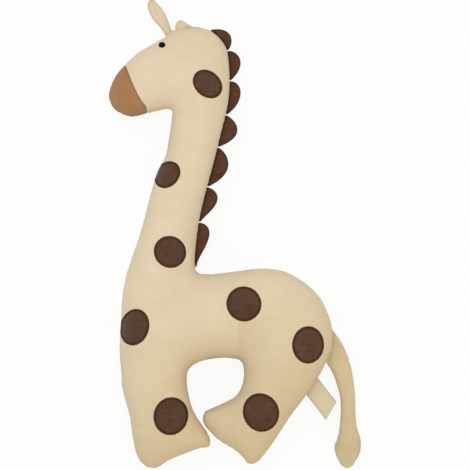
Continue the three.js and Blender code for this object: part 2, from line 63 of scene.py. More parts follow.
OUTLINE = [
    (-79.5, 560.5, "brow"), (-87, 553.5), (-98.5, 547), (-110.5, 540), (-122.5, 533),
    (-139.4, 517.4, "nose seam top"), (-150, 505), (-157.5, 490, "nose top"), (-160, 476),
    (-153.7, 461.3, "nose low"), (-143.2, 454.6), (-131, 451), (-110.5, 455.5, "nose seam low"),
    (-96.5, 458.8), (-84.5, 460.9), (-79.4, 458.4, "throat"),
    (-79.5, 450), (-83.6, 421), (-87.6, 401), (-98, 379.7), (-105, 358), (-112.5, 329), (-121.1, 298),
    (-131.5, 268, "chest"), (-139.5, 241), (-143, 219), (-144.5, 191),
    (-146.5, 150, "elbow"), (-144.3, 124), (-143.6, 108), (-140.4, 93), (-133.5, 68), (-129, 37),
    (-122.5, 14),
    (-111.5, 3, "fore heel"), (-100, 1.5), (-82, 12), (-61, 20.4), (-44, 26.7),
    (-32, 29, "fore toe"), (-30.5, 38), (-35, 48), (-43, 59.5), (-52, 74.5), (-58, 95), (-60.5, 112),
    (-58, 127, "arch left"), (-47, 136), (-24, 141.6), (-3, 141.8),
    (8.9, 138, "arch right"), (12.6, 126.3), (10.2, 107), (2.1, 93.4), (-13.5, 84.5), (-30.5, 77),
    (-36.9, 73.6),
    (-40, 65, "hind toe"), (-37.5, 56), (-31, 48.5), (-20.5, 38), (2.3, 23.4), (12.5, 13.7),
    (17.5, 7.4), (28, 8, "hind heel"), (48, 31), (71.2, 66.2), (93, 95.3), (107, 116.5), (119.5, 140),
    (126, 159, "tail base"), (125.8, 179.1), (120.1, 199.2), (110.1, 219), (91, 238), (65.2, 252.5),
    (36, 256.6), (1, 252.8), (-34, 249.3),
    (-47, 251.8, "withers"), (-50, 262), (-48, 292), (-44, 321), (-36, 355), (-27, 388),
    (-18, 424), (-10, 456, "nape"), (-7, 472), (-5.5, 498), (-7, 524), (-10, 539),
    (-20.5, 553.5, "crown"), (-34, 562.5), (-56, 564),
]
OUTLINE_STEPS = 8  # pieces of the outline between two of its points

# The curved seam between the muzzle and the face, from top to bottom

NOSE_SEAM = [(-139.4, 517.4), (-131, 496), (-125, 483), (-118.5, 471), (-113, 463.5), (-110.5, 455.5)]

# Ovals: middle, half the length, half the width, and degrees from +X to the length

SPOTS = {
    "head": (-33.7, 491.6, 20.3, 16.2, -41),
    "neck": (-85, 376.4, 18.6, 15.2, 48),
    "lower_neck": (-81.5, 278, 20.8, 19.9, -45),
    "chest": (-126.6, 182.2, 23.6, 18.6, 73),
    "body": (12.6, 211.9, 22.3, 21.9, -30),
    "rump": (94.2, 159.8, 23.7, 20.3, 90),
    "hind_leg": (34.4, 73.7, 24.7, 22.8, -71),
    "foreleg": (-80.4, 69, 24.1, 21.9, 80),
}
EYE = (-91.8, 541.9, 4.4, 3.8, 0)

# Creases in the covers: start, end, width and depth. Seen from its start, a crease drops
# sharply on its line and comes up slowly over its width on its right.

# Painted shade also darkens the cloth beside each crease, most at its line.
CREASES = [
    ((6, 134), (5, 184), 15, 4),
    ((-60, 476), (-80, 459), 8, 0.8),
    ((-80, 459), (-52, 452), 9, 0.7),
    ((-50, 254), (-80, 243), 10, 0.8),
    ((-57, 128), (-76, 158), 9, 0.8),
    ((10, 138), (30, 158), 9, 0.6),
    ((-14, 84), (14, 70), 8, 0.7),
    ((-50, 66), (-74, 96), 9, 0.5),
]

# Mane scallops: start and end along the sewn edge from the crown downwards, reach, the share
# of the length, from the top, where a scallop is widest, and how hollow it tapers to its end

MANE_TOP = (-30, 558.5)
MANE = [
    (-1, 32, 13, 0.55, 1), (33.5, 70.5, 15, 0.4, 1), (72, 114.5, 14.6, 0.36, 1),
    (116, 157, 19.6, 0.43, 1), (158.5, 209.5, 19.2, 0.43, 1), (211, 256, 17, 0.3, 1.2),
    (257.5, 314.5, 15.6, 0.25, 1.4),
]
MANE_ENDS = 2  # depth of a scallop at its two ends

# Tail: inner edge, outer edge, half thickness and height of its middle above the table

TAIL_ROOT = 46
TAIL_ROWS = [
    ((120.5, 132.5), (137.5, 163), 2.2, 28.5),
    ((124, 127), (144, 149), 5.2, 26),
    ((128, 117), (149, 132), 8, 22.5),
    ((132, 105), (152, 114), 8.4, 19),
    ((135.5, 91), (154.3, 95), 8, 16),
    ((136.5, 77), (155.3, 77), 7.8, 14.5),
    ((136, 64), (155.8, 64), 8.4, 14),
    ((134.8, 50), (157.8, 50), 10, 13.8),
    ((132.5, 39), (161.3, 39), 12.2, 13.6),
    ((128.5, 27.5), (162.5, 29), 13, 13.6),
    ((130, 18), (160.5, 17.5), 11.6, 13.4),
    ((134.5, 9), (156, 9.5), 8.4, 13),
    ((140.5, 0), (150, 0), 3.4, 12.4),
]

# Ears: left edge, right edge and height of the fold over the sewn edge

FRONT_EAR_SEAM = ((-87, 553.5), (-79, 560.5))
FRONT_EAR = [
    ((-94, 564.5), (-82, 567), 1), ((-102.3, 573.5), (-85, 575), 2), ((-107.5, 582.5), (-88.7, 583), 2),
    ((-110.3, 591), (-94, 591), 1), ((-110, 597), (-99.5, 597), 0.5), ((-107.5, 600.5), (-102.5, 600.5), 0),
]
REAR_EAR_SEAM = ((-75, 562), (-62, 564))
REAR_EAR = [
    ((-75, 567), (-60.5, 564.6), -1), ((-73, 572), (-58, 564), -4),
    ((-68, 574.6), (-55, 563), -8), ((-60.5, 570.4), (-51, 562), -12),
    ((-52.5, 566.8), (-46.5, 561.2), -15), ((-43.5, 565.8), (-41.5, 561), -17),
    ((-37, 563.8), (-37.5, 560.6), -18),
]
EAR_CUP = 3.5  # how far an ear's edges stand above its fold

LABEL_SEAM = ((93.5, 94), (107, 117))
LABEL_LENGTH = 39.5
LABEL_LEAN = 22  # degrees that it leans from square to the seam, towards the feet
LABEL_DROOP = 4  # how far its end hangs below the seam
LABEL_CURL = 1.6  # how far its end's corners stand up
LABEL_WAVE = 0.5


# The drawing's middle and the model's: the body spot is the same place in both.

spot_low, spot_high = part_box("front_body_spot")
SHIFT = np.array([*(spot_low + spot_high)[:2], 0]) / 2 - np.array([*SPOTS["body"][:2], 0]) * MM


def placed(points):
    """Points of the drawing, in millimetres, as points of the model, in metres."""
    return np.asarray(points) * MM + SHIFT


# Curves


def smooth_curve(points, steps, closed=False):
    """A curve through the points (their first axis): between two of them runs a cubic whose end
    slopes come from the neighbours, with times spaced by the root of the distances."""
    p = np.asarray(points, float)
    if closed:
        p = np.concatenate([p[-1:], p, p[:2]])
    else:
        p = np.concatenate([2 * p[:1] - p[1:2], p, 2 * p[-1:] - p[-2:-1]])
    a, b, c, d = p[:-3], p[1:-2], p[2:-1], p[3:]
    before, here, after = (
        np.sqrt(np.maximum(np.linalg.norm(n - m, axis=-1, keepdims=True), 1e-9))
        for m, n in ((a, b), (b, c), (c, d)))
    leaving = here * ((b - a) / before - (c - a) / (before + here) + (c - b) / here)
    arriving = here * ((c - b) / here - (d - b) / (here + after) + (d - c) / after)
    t = (np.arange(steps) / steps).reshape((1, -1) + (1,) * (p.ndim - 1))
    b, c, leaving, arriving = (x[:, None] for x in (b, c, leaving, arriving))
    bend = 3 * (c - b) - 2 * leaving - arriving
    twist = leaving + arriving - 2 * (c - b)
    curve = (b + leaving * t + bend * t ** 2 + twist * t ** 3).reshape((-1,) + p.shape[1:])
    return curve if closed else np.concatenate([curve, p[-2:-1]])


def lengths(curve):
    """How far along a curve each of its points lies."""
    return np.concatenate([[0], np.cumsum(np.linalg.norm(np.diff(curve, axis=0), axis=1))])


def by_length(curve, shares):
    """The points at these shares of a curve's length."""
    along = lengths(curve)
    return np.stack([np.interp(shares * along[-1], along, axis) for axis in curve.T], axis=-1)


def resampled(grid, stations):
    """A grid at other stations (0 to 1) of its first axis: cubics through its rows."""
    rows = np.concatenate([2 * grid[:1] - grid[1:2], grid, 2 * grid[-1:] - grid[-2:-1]])
    last = len(grid) - 1
    at = np.clip(stations, 0, 1) * last
    i = np.minimum(at.astype(int), last - 1)
    t = (at - i).reshape((-1,) + (1,) * (grid.ndim - 1))
    a, b, c, d = rows[i], rows[i + 1], rows[i + 2], rows[i + 3]
    return b + t / 2 * (c - a + t * (2 * a - 5 * b + 4 * c - d + t * (3 * (b - c) + d - a)))


def smooth_step(x):
    """From 0 at x = 0 to 1 at x = 1, level at both ends."""
    x = np.clip(x, 0, 1)
    return x * x * (3 - 2 * x)


# The sewn outline, measured along its length


outline = smooth_curve([point[:2] for point in OUTLINE], OUTLINE_STEPS, closed=True)
CORNER = {point[2]: i * OUTLINE_STEPS for i, point in enumerate(OUTLINE) if len(point) == 3}
outline_sides = np.roll(outline, -1, axis=0) - outline
side_lengths = np.linalg.norm(outline_sides, axis=1)
reached = np.concatenate([[0], np.cumsum(side_lengths)])
seam_length = reached[-1]
tangents = np.roll(outline, -1, axis=0) - np.roll(outline, 1, axis=0)
tangents /= np.linalg.norm(tangents, axis=1, keepdims=True)


def on_seam(distance, outwards=0.0):
    """Plan points at distances along the sewn outline, moved outwards square to it."""
    s = np.mod(distance, seam_length)
    ring = np.concatenate([outline, outline[:1]])
    turning = np.concatenate([tangents, tangents[:1]])
    x, y = (np.interp(s, reached, ring[:, k]) for k in (0, 1))
    tx, ty = (np.interp(s, reached, turning[:, k]) for k in (0, 1))
    size = np.hypot(tx, ty)
    return np.stack([x + outwards * ty / size, y - outwards * tx / size], axis=-1)


def in_parts(work, points, most=3000):
    """work(points) in parts of a size that fits the memory, joined again."""
    parts = np.array_split(points, len(points) // most + 1)
    return np.concatenate([work(part) for part in parts])


def nearest(points, starts, sides):
    """For each plan point: the number of the nearest side of a line, the share of that side at
    the nearest point, how far off this is, and 1 if the point lies left of the line, -1 if right."""
    def work(part):
        offset = part[:, None] - starts
        t = np.clip((offset * sides).sum(-1) / (sides ** 2).sum(-1), 0, 1)
        away = np.linalg.norm(offset - t[..., None] * sides, axis=-1)
        best = away.argmin(1)
        row = np.arange(len(part))
        (x, y), (u, v) = sides[best].T, offset[row, best].T
        return np.stack([best, t[row, best], away[row, best], np.sign(x * v - y * u)], axis=-1)
    best, *others = in_parts(work, np.atleast_2d(np.asarray(points, float))).T
    return best.astype(int), *others


def seam_near(points):
    """For each plan point, how far along the outline its nearest point lies, and how far off."""
    best, share, away, _ = nearest(points, outline, outline_sides)
    return reached[best] + share * side_lengths[best], away


def room(points):
    """How roomy the giraffe is at plan points: pi over the sum, round the outline, of each side's
    seen angle times its length over its triangle's doubled area."""
    def work(part):
        a = outline - part[:, None]
        b = a + outline_sides
        doubled = np.abs(a[..., 0] * b[..., 1] - a[..., 1] * b[..., 0])
        dot = (a * b).sum(-1)
        in_line = doubled < 1e-6 * side_lengths
        seen = np.arctan2(doubled, dot) / np.where(in_line, 1, doubled)
        straight = 1 / np.maximum(np.linalg.norm(a, axis=-1) * np.linalg.norm(b, axis=-1), 1e-9)
        return math.pi / (np.where(in_line, straight, seen) * side_lengths).sum(1)
    return in_parts(work, points)


# The blocks that the surface is divided in. Stations are the places of a block's grid lines,
# from 0 to 1, and a spacing says where on a side a station lies. Each block: its corners at the
# top left, top right, bottom left and bottom right, and the spacings of its top, bottom, left
# and right sides.

BLOCKS = {
    "muzzle": ("nose top", "nose seam top", "nose low", "nose seam low",
               "muzzle muzzle across rounded"),
    "face": ("nose seam top", "brow", "nose seam low", "throat", "face face rounded rounded"),
    "crown": ("brow", "crown", "throat", "nape", "rounded rounded rounded rounded"),
    "neck": ("throat", "nape", "chest", "withers", "rounded rounded neck neck"),
    "chest": ("chest", "withers", "elbow", "arch left", "rounded rounded across rounded"),
    "rump": ("withers", "tail base", "arch left", "arch right", "rump rump rounded rounded"),
    "foreleg": ("elbow", "arch left", "fore heel", "fore toe", "rounded across leg leg"),
    "hind leg": ("arch right", "tail base", "hind toe", "hind heel", "rounded across leg leg"),
}
CROSSINGS = {  # sides that leave the outline, with the points between their ends
    ("nose seam top", "nose seam low"): NOSE_SEAM[1:-1], ("brow", "throat"): [],
    ("throat", "nape"): [], ("chest", "withers"): [], ("elbow", "arch left"): [],
    ("withers", "arch left"): [], ("tail base", "arch right"): [],
}
CROWDING = 0.7  # by what share the gaps between stations shrink at a crowded end
CROSSING_STEPS = 24


def both_ends(t):
    """Half a cosine wave: steps from 0 to 1 that are short at both ends."""
    return (1 - np.cos(np.pi * t)) / 2


def far_end(t):
    """A quarter of a sine wave: steps from 0 to 1 that are short at the end."""
    return np.sin(np.pi * t / 2)


def near_end(t):
    """A quarter of a cosine wave: steps from 0 to 1 that are short at the start."""
    return 1 - np.cos(np.pi * t / 2)


def crowded(count, at_start, at_end):
    """Stations that crowd at one or both ends, for the sewn seams there: even ones, less a sine
    wave that is level with them at those ends."""
    t = np.linspace(0, 1, count + 1)
    if at_start and at_end:
        return t - CROWDING * np.sin(2 * np.pi * t) / (2 * np.pi)
    way = -1 if at_start else 1
    return t + way * CROWDING * np.sin(np.pi * t) / np.pi


def side_points(start, end, shares):
    """The side between two named corners: straight or curved across the giraffe, or along the
    sewn outline, the short way round."""
    if (end, start) in CROSSINGS:
        return side_points(end, start, shares)[::-1]
    i, count = CORNER[start], len(outline)
    if (start, end) in CROSSINGS:
        line = [outline[i], *CROSSINGS[start, end], outline[CORNER[end]]]
        return by_length(smooth_curve(line, CROSSING_STEPS), shares)
    forwards = (CORNER[end] - i) % count
    steps = np.arange(forwards + 1) if forwards < count / 2 else -np.arange(count - forwards + 1)
    return by_length(outline[(i + steps) % count], shares)


def block(top, bottom, left, right):
    """A grid between four sides: the straight fill between left and right, plus that between
    top and bottom, less the fill from the four corners. A fill's shares follow the lengths of
    the sides that it runs along."""
    i = np.linspace(0, 1, len(top))[None, :, None]
    j = np.linspace(0, 1, len(left))[:, None, None]
    above, under, near, far = (lengths(side) / lengths(side)[-1] for side in (top, bottom, left, right))
    above, under = above[None, :, None], under[None, :, None]
    near, far = near[:, None, None], far[:, None, None]
    u = above * (1 - j) + under * j
    v = near * (1 - i) + far * i
    across = left[:, None] * (1 - u) + right[:, None] * u
    down = top[None] * (1 - v) + bottom[None] * v
    corners = (top[0] * (1 - u) + top[-1] * u) * (1 - v) + (bottom[0] * (1 - u) + bottom[-1] * u) * v
    return across + down - corners


def blocks(stations):
    """The grids of all the blocks, rows downwards and columns to the right."""
    grids = {}
    for name, (*corners, spacings) in BLOCKS.items():
        a, b, c, d = corners
        ends = (a, b), (c, d), (a, c), (b, d)
        sides = [side_points(*pair, stations[s]) for pair, s in zip(ends, spacings.split())]
        grids[name] = block(*sides)
    return grids


# Closed forms: the front and the back of the giraffe share the points of the sewn edge.


def grid_faces(rows, columns, closed=False):
    """The four-sided faces of a grid of points, as indices. Closed: the last column meets the
    first."""
    ids = np.arange(rows * columns).reshape(rows, columns)
    if closed:
        ids = np.concatenate([ids, ids[:, :1]], axis=1)
    corners = (ids[:-1, :-1], ids[1:, :-1], ids[1:, 1:], ids[:-1, 1:])
    return np.stack([corner.ravel() for corner in corners], axis=1)


class Form:
    """The giraffe's closed surface on a set of stations: its points, the plan point and block of
    each, its faces, the point numbers of each block's front and back grid, and which points are
    sewn or on the back. The crown rises with the root of the room. The underside goes as deep,
    d = D h / (D^n + h^n)^(1/n), but never deeper than D, just above the table."""

    def __init__(self, stations):
        grids = blocks(stations)
        plan = np.concatenate([grid.reshape(-1, 2) for grid in grids.values()])
        _, first, index = np.unique(
            np.round(plan, 5), axis=0, return_index=True, return_inverse=True)
        index = index.ravel()
        plan = plan[first]
        faces, self.front = [], {}
        start = 0
        for name, grid in grids.items():
            rows, columns = grid.shape[:2]
            ids = index[start:start + rows * columns]
            self.front[name] = ids.reshape(rows, columns)
            faces.append(ids[grid_faces(rows, columns)])
            start += rows * columns
        self.owner = np.repeat(list(grids), [len(some) for some in faces])
        faces = np.concatenate(faces)
        sewn = self.border(faces, len(plan))
        inner = ~sewn
        under = np.where(sewn, np.arange(len(plan)), len(plan) + np.cumsum(inner) - 1)
        self.back = {name: under[ids] for name, ids in self.front.items()}
        self.faces = np.concatenate([faces, under[faces][:, ::-1]])
        self.owner = np.concatenate([self.owner, self.owner])
        height = np.where(sewn, 0, FULLNESS * np.sqrt(room(plan)))
        deepest = SEAM_HEIGHT - UNDERSIDE_ROOM
        depth = deepest * height / (deepest ** FLATTENING + height ** FLATTENING) ** (1 / FLATTENING)
        self.points = np.concatenate([
            np.column_stack([plan, SEAM_HEIGHT + height]),
            np.column_stack([plan[inner], SEAM_HEIGHT - depth[inner]])])
        self.plan_of = np.concatenate([plan, plan[inner]])
        self.is_sewn = np.concatenate([sewn, np.zeros(inner.sum(), bool)])
        self.is_back = np.arange(len(self.points)) >= len(plan)

    @staticmethod
    def border(faces, count):
        """Which points lie on an edge that only one face uses."""
        pairs = np.concatenate([faces[:, [k, (k + 1) % 4]] for k in range(4)])
        _, index, uses = np.unique(
            np.sort(pairs, axis=1), axis=0, return_inverse=True, return_counts=True)
        found = np.zeros(count, bool)
        found[pairs[uses[index.ravel()] == 1]] = True
        return found


def normals_of(points, faces):
    """Each point's normal: the sum of its faces' normals, sized by their areas, made unit."""
    a, b, c, d = (points[faces[:, k]] for k in range(4))
    normal = np.cross(c - a, d - b)
    total = np.zeros_like(points)
    for k in range(4):
        np.add.at(total, faces[:, k], normal)
    return total / np.maximum(np.linalg.norm(total, axis=1, keepdims=True), 1e-12)


# Pieces

ONE_PLACE = 2e-6  # metres: points that are nearer than this are one


def new_object(name, data):
    """An object for this data, in the scene."""
    made = bpy.data.objects.new(name, data)
    bpy.context.scene.collection.objects.link(made)
    return made


def new_mesh(name, points, faces):
    """A mesh object from points in millimetres, with smooth faces."""
    mesh = bpy.data.meshes.new(name)
    mesh.from_pydata(placed(points).tolist(), [], [list(dict.fromkeys(f)) for f in faces.tolist()])
    mesh.shade_smooth()
    return new_object(name, mesh)


def tidy_mesh(piece, fill_holes=False):
    """Merges the points that share a place, may fill a tube's ends, and turns the faces out."""
    work = bmesh.new()
    work.from_mesh(piece.data)
    bmesh.ops.remove_doubles(work, verts=work.verts, dist=ONE_PLACE)
    if fill_holes:
        bmesh.ops.holes_fill(work, edges=work.edges, sides=0)
    bmesh.ops.recalc_face_normals(work, faces=work.faces)
    work.to_mesh(piece.data)
    work.free()
    piece.data.shade_smooth()


def points_of(piece, evaluated=False):
    """A piece's points in millimetres of the drawing."""
    source = piece
    if evaluated:
        source = piece.evaluated_get(bpy.context.evaluated_depsgraph_get())
    flat = np.empty(len(source.data.vertices) * 3, np.float32)
    source.data.vertices.foreach_get("co", flat)
    return (flat.reshape(-1, 3).astype(float) - SHIFT) / MM


def give_attribute(piece, name, values):
    """Keeps one value for each point of a piece, for its material."""
    attribute = piece.data.attributes.new(name, "FLOAT", "POINT")
    attribute.data.foreach_set("value", np.asarray(values, np.float32))


def finish_piece(piece, finish, body, slot, *nodes):
    """Gives a piece its material and its body, and hides the nodes that it stands for. The slot is not
    used.
    """
    piece.data.materials.append(finish)
    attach(piece, body)
    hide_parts(*nodes)


# Stuffing: cloth under pressure from inside, held at its sewn edge

CANVAS = {"quality": 6, "mass": 0.3, "tension_stiffness": 25, "compression_stiffness": 25,
          "shear_stiffness": 12, "bending_stiffness": 0.4}
PRESSURE = 4
STUFFING_FRAMES = 20
STUFFING_BELL = 7  # reach of the bell that carries a trial's moves to the fine form

# How many cells the stations of each spacing divide, in the trial and in the fine form

TRIAL = {"across": 26, "rounded": 26, "muzzle": 10, "face": 12, "neck": 44, "rump": 36, "leg": 30}
FINE = {"across": 72, "muzzle": 34, "face": 26, "neck": 140, "rump": 110, "leg": 72}


def stuffed(points, faces, held, growth, cap):
    """How far each point of a closed cloth form moves, in millimetres, when it is blown up with
    cloth that is larger by a share (growth). Held points stay, and the move eases to a cap."""
    trial = new_mesh("stuffing_trial", points, faces)
    group = trial.vertex_groups.new(name="sewn")
    group.add([int(i) for i in np.flatnonzero(held)], 1.0, "REPLACE")
    cloth = trial.modifiers.new("stuffing", "CLOTH")
    settings = cloth.settings
    for setting, value in CANVAS.items():
        setattr(settings, setting, value)
    settings.use_pressure = True
    settings.uniform_pressure_force = PRESSURE
    settings.shrink_min = -growth
    settings.vertex_group_mass = "sewn"
    settings.effector_weights.gravity = 0
    cloth.point_cache.frame_start, cloth.point_cache.frame_end = 1, STUFFING_FRAMES
    for number in range(1, STUFFING_FRAMES + 1):
        bpy.context.scene.frame_set(number)
    moved = points_of(trial, evaluated=True) - points
    bpy.context.scene.frame_set(1)
    bpy.data.objects.remove(trial)
    size = np.linalg.norm(moved, axis=1, keepdims=True)
    return moved * cap * np.tanh(size / cap) / np.maximum(size, 1e-9)


def carried(values, places, targets, reach):
    """At each target, the mean of the values at the places, weighted by a bell of this reach."""
    values, places = values.astype(np.float32), places.astype(np.float32)

    def work(part):
        away = ((part[:, None] - places) ** 2).sum(axis=-1)
        weight = np.exp(-away / reach ** 2)
        return weight @ values / weight.sum(axis=1)
    return in_parts(work, targets.astype(np.float32), most=1500).astype(float)


def even_stations(counts):
    """Evenly spaced stations for each spacing, by its count of cells."""
    return {name: np.linspace(0, 1, count + 1) for name, count in counts.items()}


def fine_stations():
    """Stations that crowd at the sewn edges, where the surface turns down steeply."""
    across = crowded(FINE["across"], True, True)
    return even_stations(FINE) | {
        "across": across, "rounded": both_ends(across), "face": crowded(FINE["face"], True, False),
        "muzzle": near_end(crowded(FINE["muzzle"], True, True)),
        "leg": far_end(crowded(FINE["leg"], False, True))}


def covers_form():
    """The giraffe's surface, finely divided and stuffed. A coarser, evenly divided form is blown
    up, and its moves up and down are carried to the fine form, easing to none at the sewn edge."""
    fine = Form(fine_stations())
    trial = Form(even_stations(TRIAL))
    moved = stuffed(trial.points, trial.faces, trial.is_sewn, growth=0.02, cap=3)
    away = seam_near(fine.plan_of)[1]
    off_seam = np.hypot(fine.points[:, 2] - SEAM_HEIGHT, away)
    rise = np.zeros(len(fine.points))
    for is_back in (False, True):
        here, there = fine.is_back == is_back, (trial.is_back == is_back) | trial.is_sewn
        rise[here] = carried(moved[there, 2], trial.plan_of[there], fine.plan_of[here], STUFFING_BELL)
    print("stuffing lifts the covers by", np.round([rise.min(), rise.max()], 2).tolist(), "mm")
    fine.points[:, 2] += rise * smooth_step(off_seam / STUFFING_BELL)
    return fine


# Small relief of the covers: the sunken seam, the gathers beside it, the nose seam and creases

SEAM_SINK = 0.9  # how deep the turned-in seam sinks
SEAM_HALF_WIDTH = 1.4
GATHER_PITCH = 9.5  # from one gather to the next along the seam
GATHER_DEPTH = 0.32
GATHER_START = 2.5  # how far from the seam they are at full depth
GATHER_REACH = 7  # how far they run from the seam
SEAM_SHADE, NOSE_SHADE = 0.8, 0.7  # how much painted shade darkens the cloth at the seams, as shares of full
NOSE_SINK = 1.0
NOSE_SINK_WIDTH = 0.8
NOSE_RIDGE = 0.45  # the seam's turned-in cloth lifts the face's side of the nose seam
NOSE_RIDGE_PLACE = 1.9
NOSE_RIDGE_WIDTH = 1.1
CREASE_PAINTED_SHADE = 0.085  # how much painted shade darkens the cloth beside a crease, for each millimetre of its depth
CREASE_ROUND = 0.8 ** 0.5  # how softly it turns down at its line
CREASE_LEFT = 4  # how far it reaches to the left of its line
CREASE_REACH = 1.25  # where it ends, as a share of its line's length
CREASE_START, CREASE_END = 2.5, 4  # how steeply it fades in and out along its line


def bump(distance, half_width):
    """1 at distance 0, falling like a bell to nothing past about twice the half width."""
    return np.exp(-(distance / half_width) ** 2)


def beside(plan, start, end):
    """For plan points: how far they lie to the right of a line, seen from its start, and a share
    that fades out towards both of its ends."""
    a, b = np.array(start, float), np.array(end, float)
    length = np.linalg.norm(b - a)
    ahead = (b - a) / length
    along = (plan - a) @ ahead / length
    fade = smooth_step(along * CREASE_START) * smooth_step((CREASE_REACH - along) * CREASE_END)
    return (plan - a) @ np.array([ahead[1], -ahead[0]]), fade


def crease(plan, start, end, width, depth):
    """How deep a crease is at plan points: (s / width) e^(1 - s / width) for a distance s to the
    right of its line, softened at the line."""
    s, fade = beside(plan, start, end)
    soft = (s + np.sqrt(s ** 2 + CREASE_ROUND ** 2)) / 2 / width
    return depth * soft * np.exp(1 - soft) * fade * smooth_step((s + CREASE_LEFT) / CREASE_LEFT)


def crease_shade(plan, start, end, width, depth):
    """How much painted shade darkens the cloth beside a crease: most at its line, and e^(-s / width) on its
    right.
    """
    s, fade = beside(plan, start, end)
    return CREASE_PAINTED_SHADE * depth * smooth_step((s + 1.3) / 2) * np.exp(-np.maximum(s, 0) / width) * fade


def nose_distance(plan):
    """Signed distance from the nose seam in plan: positive on the face's side."""
    line = smooth_curve(NOSE_SEAM, 12)
    _, _, away, way = nearest(plan, line[:-1], np.diff(line, axis=0))
    return away * way


def gathers(along):
    """Uneven waves along the seam: a pitch that drifts, so that no two gathers are alike."""
    turns = 2 * np.pi * along / seam_length
    count = round(seam_length / GATHER_PITCH)
    drift = 2.1 * np.sin(13 * turns + 0.6) + 1.3 * np.sin(29 * turns + 2.0)
    strength = 0.65 + 0.35 * np.sin(21 * turns + 1.1) * np.sin(8 * turns)
    return strength * np.sin(count * turns + drift)


def relieved(form):
    """The form's points with the small relief, and the share of painted shade at each, from 0 to 1,
    at the seams and beside the creases. The seams and gathers move the points along their
    normals, the creases straight up or down."""
    along, away = seam_near(form.plan_of)
    off_seam = np.hypot(form.points[:, 2] - SEAM_HEIGHT, away)
    normal = normals_of(form.points, form.faces)
    lift = -SEAM_SINK * bump(off_seam, SEAM_HALF_WIDTH)
    started = smooth_step(off_seam / GATHER_START)
    lift += GATHER_DEPTH * gathers(along) * started * np.exp(-off_seam / GATHER_REACH)
    nose = nose_distance(form.plan_of)
    lift -= NOSE_SINK * bump(nose, NOSE_SINK_WIDTH)
    lift += NOSE_RIDGE * bump(nose - NOSE_RIDGE_PLACE, NOSE_RIDGE_WIDTH)
    points = form.points + normal * lift[:, None]
    for line in CREASES:
        points[:, 2] -= np.where(form.is_back, -1, 1) * crease(form.plan_of, *line)
    points[:, 2] = np.maximum(points[:, 2], TABLE_ROOM)
    # Painted shade: the cloth darkens towards the sewn edge and along the nose seam.
    shade = SEAM_SHADE * np.exp(-off_seam / GATHER_REACH)
    near = np.maximum(shade, NOSE_SHADE * bump(nose + 0.6, 0.9))
    # Painted shade beside the creases.
    painted_crease_shade = np.max([crease_shade(form.plan_of, *line) for line in CREASES], axis=0)
    return points, np.maximum(near, painted_crease_shade)


def wall(form):
    """Three-sided faces that close a cover at the nose seam, inside the giraffe."""
    front, back = form.front["muzzle"][:, -1], form.back["muzzle"][:, -1]
    a, b, c, d = front[:-1], front[1:], back[1:], back[:-1]
    triangles = np.concatenate([np.stack([a, b, c], axis=1), np.stack([a, c, d], axis=1)])
    pairs = ((0, 1), (1, 2), (2, 0))
    real = np.all([triangles[:, i] != triangles[:, j] for i, j in pairs], axis=0)
    return triangles[real][:, [0, 1, 2, 2]]


def cover(name, form, points, near, chosen):
    """A closed stuffed piece from the chosen faces of the form and the wall at the nose seam."""
    faces = np.concatenate([form.faces[chosen], wall(form)])
    used, faces_again = np.unique(faces, return_inverse=True)
    piece = new_mesh(name, points[used], faces_again.reshape(faces.shape))
    give_attribute(piece, "painted_shade_share", near[used])
    tidy_mesh(piece)
    return piece


# Flat and laid pieces

LAYING_HEIGHT = 200.0  # where a laid piece starts from, above or below the table
REACH_STEPS = 240


def slab(name, middle, above, below, shape="sheet", side=1, near=None):
    """A closed thin body on a grid of points: its upper face stands above along the normals, its
    lower face below, and walls join them at the rims. The grid is a sheet, a ring (its last
    column meets its first) or a disc (a ring whose first row is one point). near is the share of
    painted shade at the points, darkest at seams, edges and folds, for the material."""
    rows, columns = middle.shape[:2]
    closed = shape != "sheet"
    normal = side * grid_normals(middle, closed)
    if shape == "disc":
        normal[0] = normal[1].mean(axis=0)
    above, below = (np.broadcast_to(size, (rows, columns))[..., None] for size in (above, below))
    upper, lower = (middle + normal * above).reshape(-1, 3), (middle - normal * below).reshape(-1, 3)
    ids = np.arange(rows * columns).reshape(rows, columns)
    rims = {
        "sheet": [np.concatenate([ids[0, :-1], ids[:-1, -1], ids[-1, :0:-1], ids[:0:-1, 0]])],
        "ring": [ids[0], ids[-1]],
        "disc": [ids[-1]],
    }[shape]
    faces = grid_faces(rows, columns, closed)
    sides = [np.stack([rim, np.roll(rim, -1), np.roll(rim, -1) + ids.size, rim + ids.size], axis=1)
             for rim in rims]
    faces = np.concatenate([faces, faces[:, ::-1] + ids.size, *sides])
    piece = new_mesh(name, np.concatenate([upper, lower]), faces)
    if near is not None:
        near = np.broadcast_to(np.clip(near, 0, 1), (rows, columns))
        give_attribute(piece, "painted_shade_share", np.tile(near.ravel(), 2))
    tidy_mesh(piece)
    return piece


def grid_normals(grid, closed=False):
    """Unit normals of a grid of points, from the differences along its rows and columns."""
    if closed:
        round_it = np.roll(grid, -1, axis=1) - np.roll(grid, 1, axis=1)
    else:
        round_it = np.gradient(grid, axis=1)
    normal = np.cross(np.gradient(grid, axis=0), round_it)
    return normal / np.maximum(np.linalg.norm(normal, axis=-1, keepdims=True), 1e-9)


def laid_on(target, plan, side):
    """Drops a grid of plan points straight onto a cover, from above (side 1) or below (-1)."""
    height = np.full(plan.shape[:-1] + (1,), LAYING_HEIGHT * side)
    start = np.concatenate([plan, height], axis=-1)
    trial = new_mesh("laying_trial", start.reshape(-1, 3), np.zeros((0, 4), int))
    press = trial.modifiers.new("laying", "SHRINKWRAP")
    press.target = target
    press.wrap_method = "PROJECT"
    press.use_project_z = True
    press.use_positive_direction = side < 0
    press.use_negative_direction = side > 0
    bpy.context.view_layer.update()
    found = points_of(trial, evaluated=True).reshape(start.shape)
    bpy.data.objects.remove(trial)
    return found


